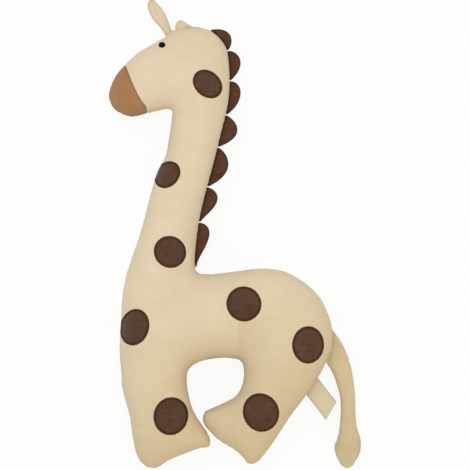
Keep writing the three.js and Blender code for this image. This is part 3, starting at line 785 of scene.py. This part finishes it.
def oval_point(oval, inset, angles):
    """Plan points on an oval that is drawn in by an inset, at angles from its length."""
    x, y, half_length, half_width, degrees = oval
    turn = math.radians(degrees)
    u = (half_length - inset) * np.cos(angles)
    v = (half_width - inset) * np.sin(angles)
    return np.stack([x + u * math.cos(turn) - v * math.sin(turn),
                     y + u * math.sin(turn) + v * math.cos(turn)], axis=-1)


def well_inside(plan):
    """Whether plan points lie inside the outline, left of its nearest side, by more than the
    spots' margin."""
    _, _, away, way = nearest(plan.reshape(-1, 2), outline, outline_sides)
    return ((way > 0) & (away > SPOT_MARGIN)).reshape(plan.shape[:-1])


def reach_inside(middle, rim):
    """For the rays from a middle to the points of a rim, the share that stays in the outline."""
    reach = well_inside(rim).astype(float)
    cut = reach == 0
    shares = np.linspace(0, 1, REACH_STEPS + 1)[1:]
    good = well_inside(middle + shares[:, None, None] * (rim[cut] - middle))
    reach[cut] = shares[np.maximum(good.argmin(axis=0) - 1, 0)]
    return reach


# Spots: a disc of brown cloth inside a band of satin stitching

SPOT_CLOTH = 0.8
SPOT_LIFT = 0.05
BAND = 3.5  # width of the satin band
BAND_RISE = 1.3  # its middle above the cover
BAND_OVERLAP = 0.5  # how far the band covers the cloth's edge
THREAD_PITCH = 0.85
THREAD_RELIEF = 0.16
BAND_SWELL = ((0.14, 5, 1), (0.1, 11, 2))  # height, waves round the band, and phase
THREAD_COLUMNS = 4  # grid columns for each thread
THREAD_JITTER = (0.1, 0.24, 0.07)  # spread of the outer ends, the inner ends and the heights
LAID_DEPTH = 0.3  # how far spots and eyes reach into the cover
BAND_DEPTH = 0.35
SPOT_ANGLES = 120
SPOT_RINGS = 26
SPOT_MARGIN = 0.3  # a spot that the outline cuts ends this far inside it


def disc_plan(oval, inset, rings, angles):
    """Rings of plan points from an oval's middle out to its rim, or to the seam that cuts it."""
    middle = np.array(oval[:2], float)
    rim = oval_point(oval, inset, np.linspace(0, 2 * np.pi, angles, endpoint=False))
    reach = reach_inside(middle, rim)
    return middle + np.linspace(0, 1, rings)[:, None, None] * reach[:, None] * (rim - middle)


def laid_piece(name, plan, above, below, shape, side, finish, slot, replaced):
    """A thin closed piece on a grid of plan points, laid on the cover and kept off the table."""
    laid = laid_on(giraffe_cover, plan, side)
    piece = slab(name, laid, above, below, shape, side)
    points = placed(points_of(piece))
    points[:, 2] = np.maximum(points[:, 2], 0)
    piece.data.vertices.foreach_set("co", points.astype(np.float32).ravel())
    piece.data.update()
    finish_piece(piece, finish, "body", slot, replaced)


def spot_cloth(name, oval, side, replaced):
    """An oval disc with a rounded rim under the satin band."""
    plan = disc_plan(oval, BAND - BAND_OVERLAP, SPOT_RINGS, SPOT_ANGLES)
    above = SPOT_CLOTH * np.sqrt(1 - np.linspace(0, 1, SPOT_RINGS)[:, None] ** 14) + SPOT_LIFT
    laid_piece(name, plan, above, LAID_DEPTH, "disc", side, spot_cotton, "brown_cotton", replaced)


def satin_band(name, oval, side, seed, replaced):
    """A raised band round a spot, made of threads that lie square to its edge: half an oval in
    section, with a ripple per thread, uneven thread ends and a rise that comes and goes. Where
    the sewn edge cuts the spot, the band is drawn in towards the spot's middle."""
    threads = round(math.pi * (oval[2] + oval[3]) / THREAD_PITCH)
    count = threads * THREAD_COLUMNS
    random = np.random.default_rng(seed)
    outer_ends, inner_ends, heights = (
        np.repeat(random.normal(0, spread, threads), THREAD_COLUMNS) for spread in THREAD_JITTER)
    angles = np.linspace(0, 2 * np.pi, count, endpoint=False)
    wave = np.cos(2 * np.pi * np.arange(count) / THREAD_COLUMNS)
    swell = sum(size * np.sin(waves * angles + phase * seed) for size, waves, phase in BAND_SWELL)
    rise = BAND_RISE + heights + swell + THREAD_RELIEF * wave
    q = np.linspace(-1, 1, 11)[:, None]
    half_band = BAND / 2 + np.where(q > 0, inner_ends, outer_ends) * np.abs(q)
    plan = oval_point(oval, BAND / 2 + q * half_band, angles)
    middle = np.array(oval[:2], float)
    plan = middle + reach_inside(middle, plan[0])[:, None] * (plan - middle)
    above = np.sqrt(np.clip(1 - q ** 2, 0, 1)) ** 0.8 * rise
    laid_piece(name, plan, above, BAND_DEPTH, "ring", side, brown_thread, "brown_thread", replaced)


# Eyes: an oval of black thread, raised in the middle, its threads upright

EYE_RISE = 0.9
EYE_THREAD = 0.7
EYE_RELIEF = 0.12
EYE_RINGS = 22
EYE_ANGLES = 96


def stitched_eye(name, side, replaced):
    """A low dome over an oval, rippled once per thread across its width."""
    plan = disc_plan(EYE, 0, EYE_RINGS, EYE_ANGLES)
    ripple = EYE_RELIEF * np.cos(2 * np.pi * (plan[..., 0] - EYE[0]) / EYE_THREAD)
    above = (EYE_RISE + ripple) * np.sqrt(1 - np.linspace(0, 1, EYE_RINGS)[:, None] ** 4)
    laid_piece(name, plan, above, LAID_DEPTH, "disc", side, black_thread, "black_thread", replaced)


# Flaps sewn into the seam

FLAP_SEAM = 0.6  # thickness in the seam
MANE_BODY = 2.4
MANE_SWELL = 0.8  # how much thicker it gets away from its edge
MANE_ROLL = 1.4
MANE_STITCH = 0.3  # how deep the stitching along its edge presses in
MANE_CURL = 0.8
MANE_RIPPLE = 0.4
EAR_CLOTH = 1.7
EAR_ROLL = 1.0
EAR_STITCH = 0.2
EAR_PUCKER = 0.35  # how high the cloth puckers where it is sewn in
EAR_STEPS = 12
THINNEST = 0.02


def rolled_edge(depth, roll):
    """Thickness share near a turned edge: full at a distance of roll or more, round to nothing."""
    inwards = np.clip((depth + THINNEST) / roll, 0, 1)
    return np.sqrt(np.clip(1 - (1 - inwards) ** 2, 0, 1))


def distance_to(curve, plan):
    """How far each plan point of a grid lies from a curve."""
    dense = by_length(curve, np.linspace(0, 1, 300))
    return np.linalg.norm(plan[..., None, :] - dense, axis=-1).min(axis=-1)


def mane_scallop(name, start, end, reach, fullest, taper, seed):
    """A pillowy flap. Its outer line rises round at its top and tapers to its end: a power of the
    share along it times a power of what is left, widest at the fullest share. Its thickness grows
    from the seam, its edge is turned and rolled, and it lies with a slight curl of its own."""
    random = np.random.default_rng(seed)
    top = seam_near([MANE_TOP])[0][0]
    t = np.linspace(0, 1, 81)
    share = both_ends(t)
    roundness = taper * fullest / (1 - fullest)
    arch = share ** roundness * (1 - share) ** taper
    arch /= fullest ** roundness * (1 - fullest) ** taper
    out = MANE_ENDS + (reach - MANE_ENDS) * arch
    depth = far_end(np.linspace(0, 1, 33))[:, None]
    outwards = -TUCKED + (out + TUCKED) * depth
    distance = top - start - (end - start) * share
    plan = on_seam(distance * np.ones_like(outwards), outwards)
    from_edge = distance_to(plan[-1], plan)
    curl = random.normal(0, MANE_CURL) * (outwards / reach) ** 2
    curl = curl + random.normal(0, MANE_RIPPLE) * np.sin(9 * t)
    curl *= smooth_step(outwards / reach)
    middle = np.concatenate([plan, (SEAM_HEIGHT + curl)[..., None]], axis=-1)
    fullness = MANE_BODY / 2 + MANE_SWELL * smooth_step(from_edge / 6)
    half = FLAP_SEAM / 2 + (fullness - FLAP_SEAM / 2) * smooth_step((outwards + TUCKED) / 5)
    stitched = MANE_STITCH * bump(from_edge - 2.6, 0.7)
    half = np.maximum((half - stitched) * rolled_edge(from_edge, MANE_ROLL), THINNEST)
    # Painted shade: darker towards the turned edge and at the root, where it leaves the seam.
    near = np.exp(-from_edge / 1.6) + 0.9 * np.exp(-np.maximum(outwards, 0) / 2.2)
    piece = slab(f"{name}_cloth", middle, half, half, near=near)
    finish_piece(piece, mane_cotton, name, "mane_cotton", name)


def ear(name, seam, rows, turn):
    """A leaf of doubled cloth: its edges are curves through listed points, its section is a
    fold whose edges stand up, and its rim is turned and rolled."""
    start, end = (on_seam(seam_near([place])[0], -TUCKED)[0] for place in seam)
    left = np.array([[*start, SEAM_HEIGHT], *([*row[0], SEAM_HEIGHT + row[2]] for row in rows)])
    right = np.array([[*end, SEAM_HEIGHT], *([*row[1], SEAM_HEIGHT + row[2]] for row in rows)])
    left, right = smooth_curve(left, EAR_STEPS), smooth_curve(right, EAR_STEPS)
    t = np.linspace(0, 1, len(left))[:, None]
    u = np.linspace(0, 1, 33)
    cup = EAR_CUP * np.sin(np.pi * np.clip(t * len(rows) / (len(rows) + 1), 0, 1))
    fold = np.sqrt((2 * u - 1) ** 2 + 0.015) - 0.5
    middle = left[:, None] * (1 - u[None, :, None]) + right[:, None] * u[None, :, None]
    middle[..., 2] += turn * cup * fold
    middle[..., 2] += EAR_PUCKER * np.sin(np.pi * 5 * u) * bump(t, 0.25) * smooth_step(t * 8)
    width = np.linalg.norm(right - left, axis=1)[:, None]
    length = lengths((left + right) / 2)
    from_edge = np.minimum(np.minimum(u, 1 - u) * width, (length[-1] - length)[:, None])
    half = EAR_CLOTH / 2 * rolled_edge(from_edge, EAR_ROLL)
    half = np.maximum(half - EAR_STITCH * bump(from_edge - 1.9, 0.6), THINNEST)
    # Painted shade: darker at the rolled rim and along the fold down the ear's middle.
    near = 1.2 * np.exp(-from_edge / 1.2) + 0.9 * bump(u - 0.48, 0.05) * smooth_step(t * 3 - 1)
    piece = slab(f"{name}_cloth", middle, half, half, near=near)
    finish_piece(piece, cream_canvas, name, "cream_cotton", name)


# Tail: a stuffed tube, sewn along both sides

TAIL_AROUND = 48
TAIL_STEPS = 12
TAIL_TIP = 2.5  # length over which its end rounds off
TAIL_NICK = 0.07  # share of its width that the side seams draw in
ROOT_WRINKLE = 0.45  # height of the wrinkles that run across its bend
NECK_WRINKLE = 0.35  # and of those above its fuller end


def tail():
    """Closed rings along the tail: each is an oval between the tail's inner and outer edges, with
    a nick at each side seam. The root is flat in the seam and the end closes to a point."""
    base = seam_near([outline[CORNER["tail base"]]])[0][0]
    root = on_seam(base + np.array([-1, 1]) * TAIL_ROOT / 2, -TUCKED)
    inner = np.array([root[0], *(row[0] for row in TAIL_ROWS)], float)
    outer = np.array([root[1], *(row[1] for row in TAIL_ROWS)], float)
    sizes = np.array([(FLAP_SEAM / 2, SEAM_HEIGHT), *(row[2:] for row in TAIL_ROWS)], float)
    inner, outer = smooth_curve(inner, TAIL_STEPS), smooth_curve(outer, TAIL_STEPS)
    sizes = smooth_curve(sizes, TAIL_STEPS)
    middle, half = (inner + outer) / 2, (outer - inner) / 2
    length = lengths(middle)
    closing = np.sqrt(np.clip((length[-1] - length) / TAIL_TIP, 0, 1))[:, None]
    angle = np.linspace(0, 2 * np.pi, TAIL_AROUND, endpoint=False)
    across = -np.cos(angle)
    rise = np.sin(angle)
    wrinkle = ROOT_WRINKLE * np.sin(length / 3.1 + 1.3 * np.sin(length / 17))[:, None]
    wrinkle = wrinkle * bump(length[:, None] - 22, 16) * (0.6 + 0.4 * across)
    tuck = NECK_WRINKLE * np.sin(length / 2.7)[:, None]
    wrinkle = wrinkle + tuck * bump(length[:, None] - 96, 9)
    nick = 1 - TAIL_NICK * bump(rise, 0.12)
    half_rise = sizes[:, :1] * closing + wrinkle
    points = np.empty((len(middle), TAIL_AROUND, 3))
    points[..., :2] = middle[:, None] + (across * nick)[None, :, None] * (half * closing)[:, None]
    points[..., 2] = np.maximum(sizes[:, 1:] + rise * np.maximum(half_rise, THINNEST), TABLE_ROOM)
    points = stuffed_tail(points)
    piece = new_mesh("tail_tube", points.reshape(-1, 3), grid_faces(*points.shape[:2], closed=True))
    # Painted shade along the tail's two side seams.
    near = (bump(rise, 0.25)[None] * np.ones(len(middle))[:, None]).ravel()
    give_attribute(piece, "painted_shade_share", near)
    tidy_mesh(piece, fill_holes=True)
    finish_piece(piece, tail_canvas, "tail", "cream_cotton", "tail")


def stuffed_tail(rings):
    """Stuffs every third ring and second point of the tail, and carries the move to all."""
    coarse = rings[::3, ::2]
    rows, columns = coarse.shape[:2]
    held = np.zeros((rows, columns), bool)
    held[0] = held[-1] = True
    moved = stuffed(coarse.reshape(-1, 3), grid_faces(rows, columns, closed=True), held.ravel(),
                    growth=0.03, cap=1.5).reshape(coarse.shape)
    moved = resampled(moved, np.arange(len(rings)) / 3 / (rows - 1))
    wrapped = np.concatenate([moved, moved[:, :1]], axis=1).transpose(1, 0, 2)
    moved = resampled(wrapped, np.arange(rings.shape[1]) / 2 / columns).transpose(1, 0, 2)
    points = rings + moved
    points[..., 2] = np.maximum(points[..., 2], TABLE_ROOM)
    return points


# Care label: a bare tape folded in two, its ends sewn in and its fold outwards

TAPE = 0.45  # thickness of the tape
TAPE_SPREAD = 0.9  # how far its two halves stand apart near the fold


def care_label():
    """A strip that runs out of the seam, turns round its fold and runs back. Its section is a
    hairpin, and it curls a little along its length."""
    start, end = (np.array(place, float) for place in LABEL_SEAM)
    heading = math.atan2(start[0] - end[0], end[1] - start[1]) - math.radians(LABEL_LEAN)
    out = np.array([math.cos(heading), math.sin(heading)])
    t = np.linspace(0, 1, 40)
    hairpin = np.linspace(-np.pi / 2, np.pi / 2, 13)[1:-1]
    spread = TAPE_SPREAD / 2
    reach = LABEL_LENGTH - spread
    lift = spread * smooth_step(t * 1.5) + TAPE * 0.55
    run = np.concatenate([t * reach, reach + spread * np.cos(hairpin), t[::-1] * reach])
    height = np.concatenate([-lift, lift[-1] * np.sin(hairpin), lift[::-1]])
    share = run / LABEL_LENGTH
    u = np.linspace(0, 1, 25)
    width = np.linalg.norm(end - start)
    plan = start - out * TUCKED + u[:, None] * (end - start)
    plan = plan + run[:, None, None] * out * (LABEL_LENGTH + TUCKED) / LABEL_LENGTH
    curl = LABEL_CURL * share[:, None] ** 2 * (2 * u - 1) ** 2
    curl = curl + LABEL_WAVE * share[:, None] * np.sin(4 * u + 1)
    z = SEAM_HEIGHT + height[:, None] - LABEL_DROOP * share[:, None] ** 2 + curl
    strip = np.concatenate([plan, z[..., None]], axis=-1)
    # Painted shade along the tape's two long edges.
    near = np.exp(-np.minimum(u, 1 - u) * width / 1.2)
    piece = slab("care_label_tape", strip, TAPE / 2, TAPE / 2, near=near)
    finish_piece(piece, label_tape, "care_label", "label_tape", "care_label")


# Materials

CANVAS_THREAD = 0.0003  # metres: how high the weave's threads stand
RAYON_STRAND = 0.0002  # metres


def plug(tree, made, inputs):
    """Gives the inputs of a node their values or links."""
    for name, value in inputs.items():
        if isinstance(value, bpy.types.NodeSocket):
            tree.links.new(value, made.inputs[name])
        else:
            made.inputs[name].default_value = value


def node(tree, kind, inputs=None, **settings):
    """Adds a node to a tree, with its settings and its inputs."""
    made = tree.nodes.new(kind)
    for name, value in settings.items():
        setattr(made, name, value)
    plug(tree, made, inputs or {})
    return made


def colour(hex_value):
    """An sRGB hex colour as linear red, green, blue and alpha."""
    parts = [(hex_value >> shift & 255) / 255 for shift in (16, 8, 0)]
    linear = [p / 12.92 if p <= 0.04045 else ((p + 0.055) / 1.055) ** 2.4 for p in parts]
    return (*linear, 1)


def new_material(name):
    """A material, its node tree and the node of its surface."""
    finish = bpy.data.materials.new(name)
    finish.use_nodes = True
    tree = finish.node_tree
    return finish, tree, tree.nodes["Principled BSDF"]


def cloth_coordinates(tree):
    """Object coordinates in millimetres, with the object's normal."""
    where = node(tree, "ShaderNodeTexCoord")
    scaled = node(tree, "ShaderNodeVectorMath", {0: where.outputs["Object"], 1: (1000, 1000, 1000)},
                  operation="MULTIPLY")
    return scaled.outputs[0], where.outputs["Normal"]


def weave_height(tree, place, normal, pitch):
    """A plain weave's height: on each of the three main planes the product of two sines, one per
    thread direction, and the planes are mixed by the square of the normal."""
    turned = node(tree, "ShaderNodeVectorMath", {0: place, 1: (math.pi / pitch,) * 3},
                  operation="MULTIPLY")
    sines = node(tree, "ShaderNodeVectorMath", {0: turned.outputs[0]}, operation="SINE")
    waves = node(tree, "ShaderNodeSeparateXYZ", {0: sines.outputs[0]}).outputs
    weights = node(tree, "ShaderNodeVectorMath", {0: normal, 1: normal}, operation="MULTIPLY")
    weight = node(tree, "ShaderNodeSeparateXYZ", {0: weights.outputs[0]}).outputs
    total = 0.0
    for plane, (a, b) in enumerate(((1, 2), (0, 2), (0, 1))):
        woven = node(tree, "ShaderNodeMath", {0: waves[a], 1: waves[b]}, operation="MULTIPLY")
        inputs = {0: woven.outputs[0], 1: weight[plane], 2: total}
        total = node(tree, "ShaderNodeMath", inputs, operation="MULTIPLY_ADD").outputs[0]
    return total


def layered(tree, place, tone, layers):
    """Lays shades over a tone. Each layer: a value, where the shade starts and is at its most,
    the most of it, and its colour. The value is a socket, or the sizes in millimetres, along x, y
    and z, of the patches of a noise."""
    for value, low, high, most, shade in layers:
        if isinstance(value, tuple):
            where = node(tree, "ShaderNodeVectorMath", {0: place, 1: [1 / size for size in value]},
                         operation="MULTIPLY")
            value = node(tree, "ShaderNodeTexNoise", {"Vector": where.outputs[0], "Scale": 1.0,
                                                      "Detail": 2.0}).outputs["Fac"]
        share = node(tree, "ShaderNodeMapRange", {"Value": value, "From Min": low, "From Max": high,
                                                  "To Max": most})
        tone = node(tree, "ShaderNodeMix", {0: share.outputs["Result"], 6: tone, 7: colour(shade)},
                    data_type="RGBA").outputs[2]
    return tone


def painted_falloff(tree, place):
    """How far a place lies along the way in which painted shade makes the cloth darker and yellower,
    in millimetres, with an uneven border: noise of 40 mm patches is added, times 40 mm."""
    along = node(tree, "ShaderNodeVectorMath", {0: place, 1: PAINTED_FALLOFF_WAY}, operation="DOT_PRODUCT")
    patches = node(tree, "ShaderNodeTexNoise", {"Vector": place, "Scale": 1 / 40, "Detail": 2.0})
    inputs = {0: patches.outputs["Fac"], 1: 40, 2: along.outputs["Value"]}
    return node(tree, "ShaderNodeMath", inputs, operation="MULTIPLY_ADD").outputs[0]


def woven_cloth(name, base, shade, light, painted_shade_tone, pitch, relief, roughness, sheen, streaks=0.5,
                mottling=0.0, painted_falloff_tone=None):
    """Woven cotton: 45 and 23 mm patches of a darker and a lighter shade, mottling of 3 to 6 mm,
    1.5 mm streaks of threads both ways, painted shade in the weave's hollows and at seams, edges
    and creases, where asked painted shade towards the feet, and the weave as relief."""
    finish, tree, shader = new_material(name)
    place, normal = cloth_coordinates(tree)
    woven = weave_height(tree, place, normal, pitch)
    near = node(tree, "ShaderNodeAttribute", attribute_name="painted_shade_share").outputs["Fac"]
    tone = layered(tree, place, colour(base), [
        ((45, 45, 45), 0.35, 0.7, 1, shade),
        ((23, 23, 23), 0.5, 0.8, 0.7, light),
        # Painted shade: darker and yellower towards the feet and the tail, where the light falls off.
        *([(painted_falloff(tree, place), *PAINTED_FALLOFF_SPAN, 1, painted_falloff_tone)] if painted_falloff_tone else []),
        ((6, 6, 6), 0.45, 0.7, mottling, shade),
        ((3.5, 3.5, 3.5), 0.5, 0.75, mottling, light),
        ((1.5, 33, 33), 0.52, 0.8, streaks, shade),
        ((33, 1.5, 33), 0.52, 0.8, streaks, light),
        # Painted shade: in the weave's hollows, and by the painted shade share at seams, edges and creases.
        (woven, 0.4, -1, 0.3, painted_shade_tone),
        (near, 0, 1, 0.75, painted_shade_tone),
    ])
    fuzz = node(tree, "ShaderNodeTexNoise", {"Vector": place, "Scale": 1 / 0.9, "Detail": 3.0})
    height = node(tree, "ShaderNodeMath", {0: fuzz.outputs["Fac"], 1: 0.8, 2: woven},
                  operation="MULTIPLY_ADD")
    threads = node(tree, "ShaderNodeBump", {"Height": height.outputs[0], "Strength": relief,
                                            "Distance": CANVAS_THREAD})
    plug(tree, shader, {"Base Color": tone, "Normal": threads.outputs[0], "Roughness": roughness,
                        "Sheen Weight": sheen, "Sheen Roughness": 0.5, "IOR": 1.45,
                        "Specular IOR Level": 0.25})
    return finish


def stitched_thread(name, base, dark, roughness):
    """Rayon embroidery thread: smooth strands with a soft gloss, and 1.4 mm patches of painted shade that
    stand for the gaps between them.
    """
    finish, tree, shader = new_material(name)
    place, _ = cloth_coordinates(tree)
    patches = node(tree, "ShaderNodeTexNoise", {"Vector": place, "Scale": 1 / 1.4, "Detail": 3.0})
    # Painted shade: dark patches for the gaps between strands.
    tone = layered(tree, place, colour(base), [(patches.outputs["Fac"], 0.35, 0.7, 1, dark)])
    strands = node(tree, "ShaderNodeTexNoise", {"Vector": place, "Scale": 1 / 0.5, "Detail": 2.0})
    relief = node(tree, "ShaderNodeBump", {"Height": strands.outputs["Fac"], "Strength": 0.4,
                                           "Distance": RAYON_STRAND})
    plug(tree, shader, {"Base Color": tone, "Normal": relief.outputs[0], "Roughness": roughness,
                        "Sheen Weight": 0.0, "IOR": 1.5, "Specular IOR Level": 0.12})
    return finish


PAINTED_FALLOFF_WAY = (0.35, -0.94, 0)  # direction in which painted shade makes the canvas darker and yellower, where the light falls off
PAINTED_FALLOFF_SPAN = (100, 270)  # from where to where along it, the uneven border included

# Undyed cotton canvas, plain woven: matt, with a visible grid of threads and slubs. The weave is
# drawn at 1.3 mm, coarser than its real 0.6 mm threads, so that it shows. Painted shade makes it
# a little darker and yellower towards the feet and the tail, where the light falls off.
cream_canvas = woven_cloth("undyed_cotton_canvas", 0xE1D0B3, 0xDCCAAB, 0xE5D6BC, 0xBFA680,
                           pitch=1.3, relief=0.5, roughness=0.92, sheen=0.12, painted_falloff_tone=0xD0BD96)
# The tail's canvas: a little darker and yellower than the body's.
tail_canvas = woven_cloth("darker_yellower_cotton_canvas", 0xD5C4A0, 0xCCB891, 0xDBCBA9, 0xA48A60,
                          pitch=1.3, relief=0.5, roughness=0.92, sheen=0.12)
# Dyed cotton drill of the muzzle: the same weave in tan, a little closer.
tan_cotton = woven_cloth("tan_cotton_drill", 0xA97D53, 0x9F734A, 0xB3895F, 0x7C5837,
                         pitch=1.2, relief=0.45, roughness=0.88, sheen=0.1)
# Brushed brown cotton of the spots: a soft nap that blurs the weave.
spot_cotton = woven_cloth("brushed_brown_cotton", 0x593C2D, 0x4C3225, 0x66483B, 0x4A3020,
                          pitch=1.2, relief=0.6, roughness=0.95, sheen=0.12, mottling=0.6)
# The mane's brown cotton, with painted shade at its turned edges and at its root.
mane_cotton = woven_cloth("dark_brown_cotton", 0x5E3B29, 0x4E2F20, 0x714A37, 0x33200F,
                          pitch=1.2, relief=0.55, roughness=0.93, sheen=0.1, mottling=0.7)
# Polyester label tape: fine, slightly satiny.
label_tape = woven_cloth("satin_label_tape", 0xD7CCAE, 0xD1C5A5, 0xDDD3B8, 0xA8956F,
                         pitch=0.9, relief=0.25, roughness=0.7, sheen=0.05, streaks=0.25)
# Rayon embroidery threads, closely laid: they gleam a little, with patches of painted shade for the gaps
# between strands.
brown_thread = stitched_thread("dark_brown_thread", 0x4B3219, 0x38260F, roughness=0.7)
black_thread = stitched_thread("black_thread", 0x100B05, 0x080502, roughness=0.9)


# The giraffe


form = covers_form()
cover_points, painted_shade_mask = relieved(form)
in_muzzle = form.owner == "muzzle"
giraffe_cover = cover("giraffe_cover", form, cover_points, painted_shade_mask, ~in_muzzle)
muzzle_cover = cover("muzzle_cover", form, cover_points, painted_shade_mask, in_muzzle)
finish_piece(giraffe_cover, cream_canvas, "body", "cream_cotton", "front_cover", "back_cover",
             "trunk_filling", "neck_filling", "head_filling", "foreleg_filling",
             "hind_leg_filling")
finish_piece(muzzle_cover, tan_cotton, "body", "tan_cotton", "front_muzzle", "back_muzzle")

for word, side in (("front", 1), ("back", -1)):
    for number, (name, oval) in enumerate(SPOTS.items()):
        spot_cloth(f"{word}_{name}_spot_cloth", oval, side, f"{word}_{name}_spot")
        satin_band(f"{word}_{name}_satin_band", oval, side, 40 + number + 20 * (side < 0),
                   f"{word}_{name}_stitching")
    stitched_eye(f"{word}_eye_threads", side, f"{word}_eye")

for number, scallop in enumerate(MANE, start=1):
    mane_scallop(f"mane_scallop_{number}", *scallop, 70 + number)
ear("front_ear", FRONT_EAR_SEAM, FRONT_EAR, 1)
ear("rear_ear", REAR_EAR_SEAM, REAR_EAR, 0.4)
tail()
care_label()


# The setting: a white floor and soft light, seen from straight above

PICTURE_WIDTH = 601.6  # millimetres across the picture at the sewn edge: 470 times 1.28
PICTURE_MIDDLE = (1.28, 299.52)  # the drawing's point in the middle of the picture
CAMERA_HEIGHT = 6.0  # metres, as a long lens from far away
SENSOR = 36
FLOOR_REACH = 4  # metres to each side of the middle
FLOOR_GAP = 0.0002  # metres that the floor lies under the table's height, so no faces coincide


def studio_floor():
    """A white floor. What the camera sees of it is mostly plain white, with a soft shadow."""
    finish, tree, shader = new_material("white_paper_floor")
    plug(tree, shader, {"Base Color": colour(0xF4F4F4), "Roughness": 0.9, "Specular IOR Level": 0.1})
    rays = node(tree, "ShaderNodeLightPath")
    seen = node(tree, "ShaderNodeMath", {0: rays.outputs["Is Camera Ray"], 1: 0.9},
                operation="MULTIPLY")
    white = node(tree, "ShaderNodeEmission", {"Color": (1, 1, 1, 1), "Strength": 1.0})
    blend = node(tree, "ShaderNodeMixShader", {0: seen.outputs[0], 1: shader.outputs[0],
                                               2: white.outputs[0]})
    plug(tree, tree.nodes["Material Output"], {"Surface": blend.outputs[0]})
    corners = [(x * FLOOR_REACH, y * FLOOR_REACH, -FLOOR_GAP) for x, y in
               ((-1, -1), (1, -1), (1, 1), (-1, 1))]
    mesh = bpy.data.meshes.new("floor")
    mesh.from_pydata(corners, [], [[0, 1, 2, 3]])
    mesh.materials.append(finish)
    floor = new_object("floor", mesh)


def soft_light(name, place, size, power, tint=(1, 1, 1)):
    """A square lamp that faces the giraffe's middle."""
    lamp = bpy.data.lights.new(name, "AREA")
    lamp.shape = "SQUARE"
    lamp.size = size
    lamp.energy = power
    lamp.color = tint
    holder = new_object(name, lamp)
    holder.location = x, y, z = place
    holder.rotation_euler = (math.atan2(math.hypot(x, y), z), 0, math.atan2(x, -y))


def studio_air(strength):
    """Even light from all round, white where the camera sees it."""
    world = bpy.data.worlds.new("studio_air")
    world.use_nodes = True
    tree = world.node_tree
    rays = node(tree, "ShaderNodeLightPath")
    share = node(tree, "ShaderNodeMapRange", {"Value": rays.outputs["Is Camera Ray"],
                                              "To Min": strength, "To Max": 1.0})
    plug(tree, tree.nodes["Background"], {"Color": (1, 1, 1, 1), "Strength": share.outputs[0]})
    bpy.context.scene.world = world


def straight_above():
    """A camera over the picture's middle whose view is as wide as the picture."""
    lens = bpy.data.cameras.new("camera")
    lens.sensor_width = SENSOR
    lens.lens = SENSOR * (CAMERA_HEIGHT - SEAM_HEIGHT * MM) / (PICTURE_WIDTH * MM)
    lens.clip_end = 100
    camera = new_object("camera", lens)
    camera.location = (*placed([*PICTURE_MIDDLE, 0])[:2], CAMERA_HEIGHT)
    bpy.context.scene.camera = camera


studio_floor()
studio_air(0.76)
soft_light("overhead_softbox", (-0.35, 0.4, 1.5), 1.2, 8)
soft_light("warm_side_lamp", (0.8, -0.9, 0.9), 0.8, 2.4, tint=(1, 0.7, 0.2))
straight_above()
bpy.context.scene.view_settings.view_transform = "Standard"
